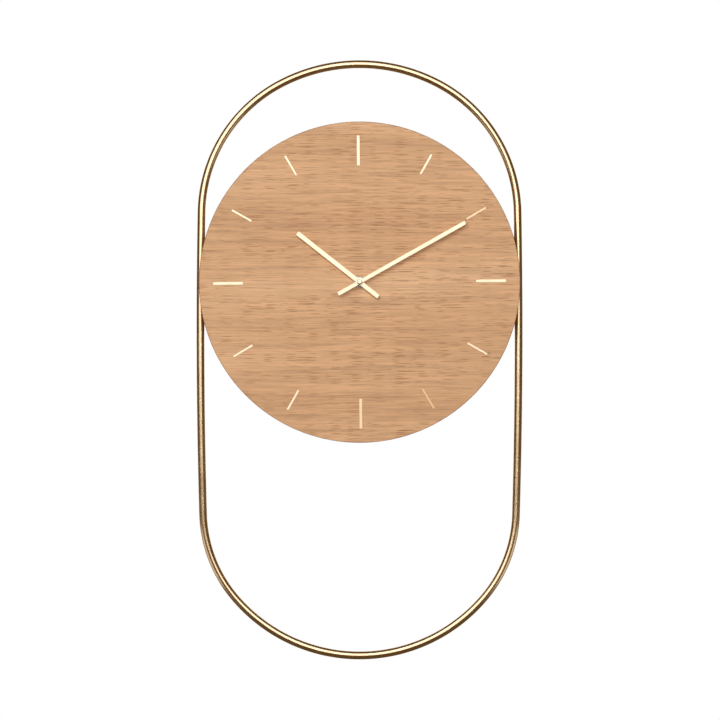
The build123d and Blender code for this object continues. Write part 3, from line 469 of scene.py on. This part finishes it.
battery_low, battery_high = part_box("battery")
sleeve, tree, shader = new_finish("battery_sleeve", 0.75)
along = put(tree, "SeparateXYZ", {"Vector": place_pattern(tree, even)}).outputs["X"]
share = put(tree, "MapRange", {"Value": along, "From Min": battery_low.x,
                               "From Max": battery_high.x}).outputs["Result"]
bands = ramp(tree, share, (0.0, paint(178, 180, 184)), (0.030, paint(36, 38, 44)), (0.715, paint(190, 128, 62)),
             (0.965, paint(186, 188, 192)))
bands.node.color_ramp.interpolation = "CONSTANT"
scuffs = noise(tree, place_pattern(tree, (60.0, 900.0, 900.0)), 1.0, 3.0)
scuffed = ramp(tree, scuffs, (0.3, grey(0.7)), (0.7, grey(1.2)))
cover(tree, shader, blend_colours(tree, 0.35, bands, scuffed, "MULTIPLY"),
      ramp(tree, scuffs, (0.3, grey(0.22)), (0.7, grey(0.38))))
roughen(tree, shader, scuffs, 0.01 * mm, 0.5)
print("inner finishes ready")

# %% [markdown]
# Every CAD node now gets the finish that belongs to its slot in the record, so nothing keeps the plain
# colour that it was loaded with. The dial's edge band shares the veneer's slot but has its own direction of
# grain, so it is set apart. Nodes that a finer piece replaces later get one too, which does no harm.

# %% Finishes for the CAD nodes
finish_of_slot = {
    "oak_veneer": oak_face, "fibreboard": fibreboard, "satin_brass": satin_plate,
    "champagne_metal": champagne, "zinc_steel": zinc_steel, "turned_brass": turned_brass,
    "black_rubber": black_rubber, "black_case_plastic": black_case, "white_gear_plastic": white_acetal,
    "magnet_black": magnet_black, "enamelled_copper": copper, "board_laminate": laminate,
    "chip_resin": chip_resin, "battery_sleeve": sleeve, "nickel_contact": nickel,
}
for part in frame["record"]["subparts"]:
    node = frame["nodes"][part["node"]]
    finish = oak_edge if part["node"] == "edge_band" else finish_of_slot[part["material_slot"]]
    for holder in node.material_slots:
        holder.material = finish

# %% [markdown]
# These helpers are the moves that a modeller repeats by hand: pick edges or faces by where they are, enter
# edit mode, run one operator, and leave again. A turned piece is drawn as half of its outline, one vertex
# extruded from the last, and then spun round its axis.

# %% Modelling helpers
def pick(obj, edges=None, faces=None):
    """Select the edges or faces for which the test is true, and enter edit mode."""
    bpy.ops.object.select_all(action="DESELECT")
    obj.select_set(True)
    bpy.context.view_layer.objects.active = obj
    bpy.ops.object.mode_set(mode="EDIT")
    bpy.ops.mesh.select_all(action="DESELECT")
    bpy.ops.mesh.select_mode(type="EDGE" if edges else "FACE")
    bpy.ops.object.mode_set(mode="OBJECT")
    mesh = obj.data
    if edges:
        for edge in mesh.edges:
            first, second = (mesh.vertices[index].co for index in edge.vertices)
            edge.select = edges(first, second)
    if faces:
        for face in mesh.polygons:
            face.select = faces(face.center, face.normal)
    bpy.ops.object.mode_set(mode="EDIT")


def leave(obj, smooth_angle=32.0):
    """Leave edit mode, and shade smooth across edges that are flatter than the angle."""
    bpy.ops.object.mode_set(mode="OBJECT")
    bpy.ops.object.select_all(action="DESELECT")
    obj.select_set(True)
    bpy.context.view_layer.objects.active = obj
    bpy.ops.object.shade_smooth_by_angle(angle=math.radians(smooth_angle))
    obj.select_set(False)


def is_upright(first, second):
    """True for the corner edges of a plate, which run straight through it along Y."""
    return abs(first.x - second.x) < 1e-7 and abs(first.z - second.z) < 1e-7


def new_bar(name, low, high):
    """A block between two corners, with its place in its mesh."""
    bpy.ops.object.select_all(action="DESELECT")
    middle = [(a + b) / 2 for a, b in zip(low, high)]
    size = [b - a for a, b in zip(low, high)]
    bpy.ops.mesh.primitive_cube_add(size=1.0, location=middle, scale=size)
    obj = bpy.context.object
    obj.name = obj.data.name = name
    bpy.ops.object.transform_apply(location=True, rotation=True, scale=True)
    return obj


def turned(name, outline, centre=(0.0, 0.0, 0.0), steps=64, lengthwise="Y"):
    """A lathe piece. The outline is a closed list of (radius, place along the axis) in millimetres."""
    def spot(radius, along):
        flat = (radius * mm, along * mm, 0.0) if lengthwise == "Y" else (along * mm, radius * mm, 0.0)
        return Vector(flat) + Vector(centre)
    bpy.ops.object.select_all(action="DESELECT")
    start = spot(*outline[0])
    bpy.ops.mesh.primitive_plane_add(size=0.001, location=start)
    obj = bpy.context.object
    obj.name = obj.data.name = name
    bpy.ops.object.transform_apply(location=True, rotation=True, scale=True)
    bpy.ops.object.mode_set(mode="EDIT")
    bpy.ops.mesh.select_mode(type="VERT")
    bpy.ops.mesh.select_all(action="SELECT")
    bpy.ops.mesh.merge(type="CENTER")
    last = start
    for point in outline[1:]:
        here = spot(*point)
        bpy.ops.mesh.extrude_region_move(TRANSFORM_OT_translate={"value": here - last})
        last = here
    bpy.ops.mesh.select_all(action="SELECT")
    axis = (0, 1, 0) if lengthwise == "Y" else (1, 0, 0)
    bpy.ops.mesh.spin(steps=steps, angle=2 * math.pi, center=centre, axis=axis, use_auto_merge=False)
    bpy.ops.mesh.select_all(action="SELECT")
    bpy.ops.mesh.remove_doubles(threshold=1e-6)
    bpy.ops.mesh.dissolve_degenerate(threshold=1e-7)
    bpy.ops.mesh.select_all(action="SELECT")
    bpy.ops.mesh.normals_make_consistent(inside=False)
    leave(obj)
    return obj


def carve(obj, *cutters, operation="DIFFERENCE"):
    """Cut the cutters out of the piece, one after another, and throw them away."""
    for cutter in cutters:
        bpy.context.view_layer.objects.active = obj
        cut = obj.modifiers.new("cut", "BOOLEAN")
        cut.operation, cut.solver, cut.object = operation, "EXACT", cutter
        bpy.ops.object.modifier_apply(modifier=cut.name)
        bpy.data.objects.remove(cutter)
    pick(obj, faces=lambda centre, normal: True)
    bpy.ops.mesh.select_mode(type="VERT")
    bpy.ops.mesh.select_all(action="SELECT")
    bpy.ops.mesh.remove_doubles(threshold=2e-6)
    bpy.ops.mesh.dissolve_degenerate(threshold=1e-7)
    leave(obj)


def open_edges(obj):
    """How many edges don't have exactly two faces, which is 0 on a sound closed piece."""
    counts = bmesh.new()
    counts.from_mesh(obj.data)
    loose = sum(1 for edge in counts.edges if len(edge.link_faces) != 2)
    volume = counts.calc_volume(signed=True)
    counts.free()
    return loose, volume


def stand_for(obj, finish, slot, body, *nodes):
    """Give a finished piece its material, its body and the CAD nodes that it stands for. The slot argument is not
    used.
    """
    obj.data.materials.clear()
    obj.data.materials.append(finish)
    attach(obj, body)
    if nodes:
        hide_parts(*nodes)
    loose, volume = open_edges(obj)
    print(f"{obj.name}: {len(obj.data.polygons)} faces, {loose} open edges, {volume * 1e9:.1f} mm3")
    if loose or volume <= 0:
        print("NOT SOUND:", obj.name)


def copy_of(obj, name, move):
    """A copy with its own mesh, moved by a matrix."""
    twin = obj.copy()
    twin.data = obj.data.copy()
    twin.name = twin.data.name = name
    bpy.context.scene.collection.objects.link(twin)
    twin.data.transform(move)
    return twin


def about_hands(angle):
    """The turn from a piece drawn along +X at the origin to its place round the hands' axis."""
    return Matrix.Translation((0.0, 0.0, axis_z)) @ Matrix.Rotation(-math.radians(angle), 4, "Y")


print("modelling helpers ready")

# %% [markdown]
# The loop is one length of 8 mm rod, bent on a roller and welded closed at the bottom. A bender only ever
# makes arcs, and so does this piece: one circle is spun about the centre of each bend in turn, from the
# bottom round to the bottom again. The long sides are bent too, very slightly, because the dial pushes them
# apart. Pulling a circle along a drawn curve would also work, but the spins give the same true arcs that
# the CAD model has.

# %% Centres of the loop's bends
rod_radius = 4.0
rod_under_dial = 5.0
loop_top, loop_bottom = 222.5, -377.6
loop_low, loop_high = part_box("loop_frame")
rod_depth = (loop_low.y + loop_high.y) / 2
half_width = dial_radius / mm - rod_under_dial + 2 * rod_radius
bow_radius, bow_drop = 6468.0, 46.6


def loop_end(end_height, inset, rise):
    """Centres and outer radii of the shoulder and the crown at one end, on the right side."""
    up = 1 if end_height > 0 else -1
    shoulder = half_width - inset
    height = end_height - up * (shoulder + rise)
    reach = math.sqrt((bow_radius - shoulder) ** 2 - (height + bow_drop) ** 2)
    across = half_width - bow_radius + reach
    crown = shoulder + rise / 2 + across ** 2 / (2 * rise)
    return (across, height), shoulder, (0.0, end_height - up * crown), crown


def direction(start, end):
    return math.degrees(math.atan2(end[1] - start[1], end[0] - start[0]))


bow_centre = (half_width - bow_radius, -bow_drop)
top_shoulder, top_radius, top_crown, top_crown_radius = loop_end(loop_top, inset=11.1, rise=2.54)
low_shoulder, low_radius, low_crown, low_crown_radius = loop_end(loop_bottom, inset=24.8, rise=10.4)
top_joint, low_joint = direction(bow_centre, top_shoulder), direction(bow_centre, low_shoulder)
top_turn, low_turn = direction(top_crown, top_shoulder), direction(low_crown, low_shoulder)


def left_of(centre):
    return (-centre[0], centre[1])


bends = [
    (low_crown, low_crown_radius, -90.0, low_turn), (low_shoulder, low_radius, low_turn, low_joint),
    (bow_centre, bow_radius, low_joint, top_joint), (top_shoulder, top_radius, top_joint, top_turn),
    (top_crown, top_crown_radius, top_turn, 180 - top_turn),
    (left_of(top_shoulder), top_radius, 180 - top_turn, 180 - top_joint),
    (left_of(bow_centre), bow_radius, 180 - top_joint, 180 - low_joint),
    (left_of(low_shoulder), low_radius, 180 - low_joint, 180 - low_turn),
    (low_crown, low_crown_radius, 180 - low_turn, 270.0),
]
rod_length = sum(math.radians(end - start) * (radius - rod_radius) for _, radius, start, end in bends)
print("loop:", len(bends), "bends,", round(rod_length), "mm of rod")

# %% Spin the rod through its bends
bpy.ops.object.select_all(action="DESELECT")
bpy.ops.mesh.primitive_circle_add(vertices=40, radius=rod_radius * mm,
                                  location=(0.0, rod_depth, axis_z + (loop_bottom + rod_radius) * mm),
                                  rotation=(0.0, math.radians(90), 0.0))
loop_rod = bpy.context.object
loop_rod.name = loop_rod.data.name = "loop_rod"
bpy.ops.object.transform_apply(location=True, rotation=True, scale=True)
bpy.ops.object.mode_set(mode="EDIT")
bpy.ops.mesh.select_all(action="SELECT")
most_degrees, longest_step = 1.6, 22.0
for centre, radius, start, end in bends:
    arc_length = math.radians(end - start) * radius
    steps = max(6, math.ceil((end - start) / most_degrees), math.ceil(arc_length / longest_step))
    bpy.ops.mesh.spin(steps=steps, angle=math.radians(end - start), axis=(0, 1, 0),
                      center=(centre[0] * mm, rod_depth, axis_z + centre[1] * mm))
bpy.ops.mesh.select_all(action="SELECT")
bpy.ops.mesh.remove_doubles(threshold=2e-5)
bpy.ops.mesh.normals_make_consistent(inside=False)
leave(loop_rod, 60.0)
print("loop rod:", len(loop_rod.data.vertices), "vertices")

# %% [markdown]
# The brushing has to follow the rod, so the rod gets a map in real metres: the first number runs along it
# and the second round it. Both are found from where a vertex lies, so they don't depend on the order of the
# vertices.

# %% Map along the rod
angle_slack, reach_slack = 0.02, 0.5


def place_on_rod(point):
    """(distance along the rod, distance round it) of a point, in millimetres."""
    x, z, depth = point.x / mm, (point.z - axis_z) / mm, (point.y - rod_depth) / mm
    done = 0.0
    for centre, radius, start, end in bends:
        angle = math.degrees(math.atan2(z - centre[1], x - centre[0]))
        angle += 360 * round(((start + end) / 2 - angle) / 360)
        length = math.radians(end - start) * (radius - rod_radius)
        if start - angle_slack <= angle <= end + angle_slack:
            out = math.hypot(x - centre[0], z - centre[1]) - (radius - rod_radius)
            if abs(out) <= rod_radius + reach_slack:
                along = done + math.radians(angle - start) * (radius - rod_radius)
                return along, math.atan2(depth, out) * rod_radius
        done += length
    raise ValueError("a point of the rod lies on none of its bends")


def unwrap(value, near, whole):
    return value + whole * round((near - value) / whole)


rod_map = loop_rod.data.uv_layers.new(name="along_rod")
girth = 2 * math.pi * rod_radius
corner_places = [place_on_rod(vertex.co) for vertex in loop_rod.data.vertices]
for face in loop_rod.data.polygons:
    face_run, face_round = corner_places[face.vertices[0]]
    for corner in face.loop_indices:
        along, around = corner_places[loop_rod.data.loops[corner].vertex_index]
        rod_map.data[corner].uv = (unwrap(along, face_run, rod_length) * mm,
                                   unwrap(around, face_round, girth) * mm)
stand_for(loop_rod, satin_brass, "satin_brass", "clock_body", "loop_frame")

# %% [markdown]
# The twelve markers are cut from flat bar, brushed along their length, with eased front edges and slightly rounded
# ends. Each lies in its own slot and stands only a third of a millimetre proud. One long and one short bar are
# modelled along X and then copied round the dial. A value stored on each bar's mesh tells the finish how golden
# that bar is, and it differs from bar to bar.

# %% Marker bars
def add_bar_map(obj, tone):
    """A map in metres along the bar and across it, and one value for how golden it is."""
    bar_map = obj.data.uv_layers.new(name="along_bar")
    for loop in obj.data.loops:
        point = obj.data.vertices[loop.vertex_index].co
        bar_map.data[loop.index].uv = (point.x, point.z)
    set_tone(obj, tone)


def set_tone(obj, tone):
    layer = obj.data.attributes.get("gold_tone")
    if layer is None:
        layer = obj.data.attributes.new("gold_tone", "FLOAT", "POINT")
    for item in layer.data:
        item.value = tone


def eased_bar(name, low, high, corner, easing):
    """A flat bar whose upright corners are rounded and whose front edges are eased."""
    bar = new_bar(name, low, high)
    pick(bar, edges=is_upright)
    bpy.ops.mesh.bevel(offset=corner, segments=4, affect="EDGES")
    bpy.ops.object.mode_set(mode="OBJECT")
    pick(bar, edges=lambda a, b: abs(a.y - low[1]) < 1e-7 and abs(b.y - low[1]) < 1e-7)
    bpy.ops.mesh.bevel(offset=easing, segments=3, affect="EDGES")
    leave(bar, 10.0)
    return bar


marker_low, marker_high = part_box("hour_markers_long")
marker_inset = 13.95
dial_twist = 0.55
outer_end = dial_radius - marker_inset * mm
bars = {}
for size, length, width in (("long", 30.0, 3.0), ("short", 22.5, 2.0)):
    bars[size] = eased_bar(f"marker_bar_{size}", (outer_end - length * mm, marker_low.y, -width / 2 * mm),
                           (outer_end, marker_high.y, width / 2 * mm), corner=0.42 * mm, easing=0.22 * mm)
    add_bar_map(bars[size], 0.0)

golden = {12: 0.12, 1: 0.0, 2: 0.62, 3: 0.15, 4: 0.12, 5: 0.85, 6: 0.48, 7: 0.0, 8: 0.0, 9: 0.10, 10: 0.0,
          11: 0.0}
for hour, tone in golden.items():
    size = "long" if hour % 3 == 0 else "short"
    marker = copy_of(bars[size], f"marker_{hour}", about_hands(90 + dial_twist - 30 * hour))
    set_tone(marker, tone)
    stand_for(marker, champagne, "champagne_metal", "clock_body", f"hour_markers_{size}")
for bar in bars.values():
    bpy.data.objects.remove(bar)

# %% [markdown]
# The hands are stamped from 0.8 mm sheet and anodised a pale gold. Their front edges are eased more than
# the markers', and that is what shows as a dark line along the lower side. Each has a hole for the part of
# the arbor that it sits on. They are modelled along X, bored, mapped, and turned to the time last, so that
# the brushing stays in line with the blade.

# %% Hands
def hand(name, node, length, tail, width, angle, bore, body):
    """A blade that points along +X, bored where the hands' axis goes through, and then turned to the time."""
    low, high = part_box(node)
    blade = eased_bar(name, (-tail * mm, low.y, -width / 2 * mm), (length * mm, high.y, width / 2 * mm),
                      corner=0.40 * mm, easing=0.26 * mm)
    front, back = low.y / mm - 1, high.y / mm + 1
    carve(blade, turned("drill", [(0.0, front), (bore, front), (bore, back), (0.0, back)], steps=40))
    leave(blade, 10.0)
    add_bar_map(blade, 0.04)
    blade.data.transform(about_hands(angle))
    stand_for(blade, champagne, "champagne_metal", body, node)
    print(f"{name}: {(high.y - low.y) / mm:.2f} mm thick")


hand("hour_hand_blade", "hour_hand", length=79.0, tail=24.0, width=4.5, angle=141.8, bore=1.8,
     body="hour_hand_group")
hand("minute_hand_blade", "minute_hand", length=121.0, tail=24.5, width=3.95, angle=29.4, bore=1.45,
     body="minute_hand_group")

# %% [markdown]
# In the middle a small domed nut holds the minute hand, and a bright steel hub under the hour hand grips
# the hour pipe. Both are lathe work, so half of the outline is drawn and spun. The hub's rim is rolled over
# a little, and the nut has a fine step at its foot.

# %% Cap nut and hub
on_axis = (0.0, 0.0, axis_z)
cap_low, cap_high = (value.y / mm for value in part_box("hand_nut"))
cap = turned("cap_nut", [
    (0.0, cap_low), (1.2, cap_low + 0.01), (1.85, cap_low + 0.04), (2.2, cap_low + 0.13), (2.47, cap_low + 0.32),
    (2.63, cap_low + 0.56), (2.7, cap_low + 0.85), (2.7, cap_high - 0.30), (2.55, cap_high - 0.22),
    (2.55, cap_high), (1.45, cap_high), (1.45, cap_high - 1.6), (0.0, cap_high - 1.6),
], on_axis)
stand_for(cap, cap_metal, "champagne_metal", "minute_hand_group", "hand_nut")

hub_low, hub_high = (value.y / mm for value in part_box("hour_hand_hub"))
hub = turned("hour_hub", [
    (2.5, hub_low), (4.55, hub_low), (4.75, hub_low + 0.06), (4.95, hub_low), (5.15, hub_low + 0.03),
    (5.28, hub_low + 0.14), (5.3, hub_low + 0.26), (5.2, hub_low + 0.4), (3.5, hub_low + 0.4),
    (3.32, hub_low + 0.5), (3.3, hub_high - 0.12), (3.18, hub_high), (2.5, hub_high), (2.5, hub_low),
], on_axis)
stand_for(hub, turned_steel, "zinc_steel", "hour_hand_group", "hour_hand_hub")

# %% [markdown]
# Inside the movement the hands' arbor is not fixed to its wheel: a small sprung washer presses on the
# wheel, so the hands can be set by hand while the wheel stands still. It is dished, and that is why it
# springs. It is turned as a thin cone, and its rim stays three hundredths of a millimetre clear, so the two
# never cut through each other.

# %% Clutch washer
washer_low, washer_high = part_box("clutch_spring")
wheel_clearance = 0.03
hole_radius, sheet_thickness = 1.06, 0.12
inner, rim = washer_low.y / mm, washer_high.y / mm - wheel_clearance
outer_radius = (washer_high.x - washer_low.x) / 2 / mm
clutch = turned("clutch_washer", [
    (hole_radius, inner), (hole_radius, inner + sheet_thickness), (1.5, inner + 0.14), (outer_radius - 0.1, rim),
    (outer_radius, rim - 0.04), (outer_radius, rim - sheet_thickness), (1.6, inner), (hole_radius, inner),
], on_axis, 48)
stand_for(clutch, zinc_steel, "zinc_steel", "minute_hand_group", "clutch_spring")
print("clutch washer between", round(rim, 2), "and", round(inner, 2))

# %% [markdown]
# Between the hub and the dial a brass hexagon nut clamps the movement's threaded bush. A real one is turned
# from hexagonal bar, so its six corners are cut back by a cone at both ends. That is what is done here: a
# six-sided block is added, turned by 30 degrees so that two of its corners lie level, and then kept only
# where a turned double cone overlaps it.

# %% Hexagon nut
nut_low, nut_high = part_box("hex_nut")
bpy.ops.object.select_all(action="DESELECT")
nut_corner = (nut_high.x - nut_low.x) / 2
bpy.ops.mesh.primitive_cylinder_add(vertices=6, radius=nut_corner, depth=nut_high.y - nut_low.y,
                                    location=(0.0, (nut_low.y + nut_high.y) / 2, axis_z),
                                    rotation=(math.radians(90), 0.0, 0.0))
nut = bpy.context.object
nut.name = nut.data.name = "clamp_nut"
bpy.ops.object.transform_apply(location=True, rotation=True, scale=True)
nut.data.transform(Matrix.Translation(on_axis) @ Matrix.Rotation(math.radians(30), 4, "Y")
                   @ Matrix.Translation(axis_to_origin))
low, high, wide = nut_low.y / mm, nut_high.y / mm, nut_corner / mm
cone_tip, cone_belt, nut_bore = wide - 0.963, wide + 0.1, 3.5
cone = turned("chamfer_cone", [
    (0.0, low - 0.2), (cone_tip, low - 0.2), (cone_belt, low + 0.42), (cone_belt, high - 0.42),
    (cone_tip, high + 0.2), (0.0, high + 0.2)], on_axis, 48)
carve(nut, cone, operation="INTERSECT")
carve(nut, turned("bore", [(0.0, low - 1), (nut_bore, low - 1), (nut_bore, high + 1), (0.0, high + 1)],
                  on_axis, 48))
stand_for(nut, turned_brass, "turned_brass", "clock_body", "hex_nut")

# %% [markdown]
# Six wood screws hold the hanger and the clamps. One is turned, with a pan head and a shank whose ridges
# stand for the thread, and a cross is cut in its head by two crossed bars. The other five are copies. The
# head lies on the plate's outer face, which is the plane y = 0.

# %% Wood screws
thread_start, thread_end, thread_pitch = -2.6, -9.6, 0.95
hanger_x, hanger_z = 19.0, 4.5
clamp_x, clamp_upper, clamp_lower = 148.35, -104.0, -116.0
screw_outline = [(0.0, 1.8), (1.3, 1.76), (2.1, 1.52), (2.65, 1.05), (2.9, 0.45), (2.9, 0.08), (2.82, 0.0),
                 (1.4, 0.0), (1.4, -2.4)]
ridge = thread_start
while ridge > thread_end:
    screw_outline += [(1.12, ridge), (1.12, ridge - 0.35), (1.4, ridge - 0.6)]
    ridge -= thread_pitch
screw_outline += [(1.1, -9.9), (0.2, -11.0), (0.0, -11.0)]
screw = turned("wood_screw", screw_outline, steps=40)
for name, wide, tall in (("first", 1.75, 0.38), ("second", 0.38, 1.75)):
    cross = new_bar(f"{name}_cross_bar", (-wide * mm, 0.85 * mm, -tall * mm), (wide * mm, 2.5 * mm, tall * mm))
    pick(cross, faces=lambda centre, normal: normal.y < -0.9)
    bpy.ops.transform.resize(value=(0.62, 1.0, 0.62))
    bpy.ops.object.mode_set(mode="OBJECT")
    carve(screw, cross)
screw_places = {
    "hanger_screw_left": ("hanger_screws", -hanger_x, hanger_z, 20),
    "hanger_screw_right": ("hanger_screws", hanger_x, hanger_z, 65),
    "clamp_screw_1": ("loop_clamp_screws", -clamp_x, clamp_upper, 35),
    "clamp_screw_2": ("loop_clamp_screws", -clamp_x, clamp_lower, 80),
    "clamp_screw_3": ("loop_clamp_screws", clamp_x, clamp_upper, 10),
    "clamp_screw_4": ("loop_clamp_screws", clamp_x, clamp_lower, 50),
}
for name, (node, x, z, turn_angle) in screw_places.items():
    driven = copy_of(screw, name, Matrix.Translation((x * mm, 0.0, z * mm))
                     @ Matrix.Rotation(math.radians(turn_angle), 4, "Y"))
    stand_for(driven, zinc_steel, "zinc_steel", "clock_body", node)
bpy.data.objects.remove(screw)

# %% [markdown]
# The hanger is a small steel plate with a keyhole: the wall screw's head goes in at the round end and its
# neck slides up the slot. The two clamps that hold the loop in the dial are plain brass-plated plates. All
# three are blocks whose corners and edges are rounded before the holes are cut, as they would be after
# stamping.

# %% Hanger and clamp plates
def stamped_plate(name, node, corner):
    low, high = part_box(node)
    plate = new_bar(name, low, high)
    pick(plate, edges=is_upright)
    bpy.ops.mesh.bevel(offset=corner, segments=6, affect="EDGES")
    bpy.ops.object.mode_set(mode="OBJECT")
    pick(plate, edges=lambda a, b: abs(a.y - high.y) < 1e-7 and abs(b.y - high.y) < 1e-7)
    bpy.ops.mesh.bevel(offset=0.25 * mm, segments=3, affect="EDGES")
    leave(plate)
    return plate


def drill_at(x, z, radius):
    return turned("drill", [(0.0, -3.0), (radius, -3.0), (radius, 1.5), (0.0, 1.5)], (x * mm, 0.0, z * mm), 40)


entry_radius, neck_radius, slot_top, screw_hole = 4.5, 2.2, 9.0, 1.5
hanger = stamped_plate("hanger", "hanger_plate", 3.0 * mm)
carve(hanger, drill_at(0.0, 0.0, entry_radius), drill_at(0.0, slot_top, neck_radius),
      new_bar("slot_cutter", (-neck_radius * mm, -3.0 * mm, 0.0), (neck_radius * mm, 1.5 * mm, slot_top * mm)),
      drill_at(-hanger_x, hanger_z, screw_hole), drill_at(hanger_x, hanger_z, screw_hole))
stand_for(hanger, zinc_steel, "zinc_steel", "clock_body", "hanger_plate")
for side, x in (("left", -clamp_x), ("right", clamp_x)):
    clamp = stamped_plate(f"rod_clamp_{side}", f"loop_clamp_{side}", 2.0 * mm)
    carve(clamp, drill_at(x, clamp_upper, screw_hole), drill_at(x, clamp_lower, screw_hole))
    stand_for(clamp, satin_plate, "satin_brass", "clock_body", f"loop_clamp_{side}")

# %% [markdown]
# Four rubber bumpers keep the clock off the wall. Each is a low dome with a flat top that touches the wall
# and a thin lip where it is glued on. One is turned and the rest are copies.

# %% Bumpers
bumper = turned("bumper", [(0.0, 3.5), (3.3, 3.5), (4.4, 3.34), (5.2, 2.9), (5.62, 2.2), (5.74, 1.2), (5.8, -0.7),
                           (6.0, -0.9), (6.0, -1.5), (0.0, -1.5)], steps=48)
bumper_inset = 30.0
reach = dial_radius - bumper_inset * mm
for number, angle in enumerate((40.0, 140.0, 220.0, 320.0), 1):
    spot = (reach * math.cos(math.radians(angle)), 0.0, axis_z + reach * math.sin(math.radians(angle)))
    pad = copy_of(bumper, f"bumper_{number}", Matrix.Translation(spot))
    stand_for(pad, black_rubber, "black_rubber", "clock_body", "wall_bumpers")
bpy.data.objects.remove(bumper)

# %% [markdown]
# The battery is a plain AA cell, a deep-drawn can rolled in at both ends, with a raised button on the
# positive one. It is a lathe shape too, only this time the axis lies along X.

# %% Battery
cell_centre = (0.0, (battery_low.y + battery_high.y) / 2, (battery_low.z + battery_high.z) / 2)
cell_radius = (battery_high.z - battery_low.z) / 2 / mm
left_end, right_end = battery_low.x / mm, battery_high.x / mm
button_length = 1.4
shoulder_end = right_end - button_length
cell = turned("aa_cell", [
    (0.0, left_end), (cell_radius - 1.5, left_end), (cell_radius - 1.1, left_end + 0.1),
    (cell_radius - 0.35, left_end + 0.15), (cell_radius - 0.05, left_end + 0.5), (cell_radius, left_end + 0.9),
    (cell_radius, shoulder_end - 1.2), (cell_radius - 0.08, shoulder_end - 0.6),
    (cell_radius - 0.45, shoulder_end - 0.12), (cell_radius - 1.1, shoulder_end),
    (cell_radius - 1.5, shoulder_end - 0.25), (3.2, shoulder_end - 0.25), (2.85, shoulder_end - 0.1),
    (2.7, shoulder_end + 0.3), (2.7, right_end - 0.25), (2.45, right_end), (0.0, right_end),
], cell_centre, 56, "X")
stand_for(cell, sleeve, "battery_sleeve", "clock_body", "battery")

# %% [markdown]
# A plain pale floor lies well below the clock. It is out of the front view and only catches the eye when the clock
# is seen from above. It isn't part of the clock.

# %% Floor
floor_radius, floor_height = 1.3, -1.6
bpy.ops.object.select_all(action="DESELECT")
bpy.ops.mesh.primitive_circle_add(vertices=96, radius=floor_radius, fill_type="NGON",
                                  location=(0.0, 0.0, floor_height))
floor = bpy.context.object
floor.name = floor.data.name = "studio_floor"
bpy.ops.object.transform_apply(location=True, rotation=True, scale=True)
floor_finish, tree, shader = new_finish("studio_floor", Roughness=0.9)
speckle = noise(tree, place_pattern(tree, even), 90.0, 4.0)
cover(tree, shader, ramp(tree, speckle, (0.3, grey(0.80)), (0.7, grey(0.84))))
floor.data.materials.append(floor_finish)
floor.visible_glossy = False
print("floor at z", floor_height)
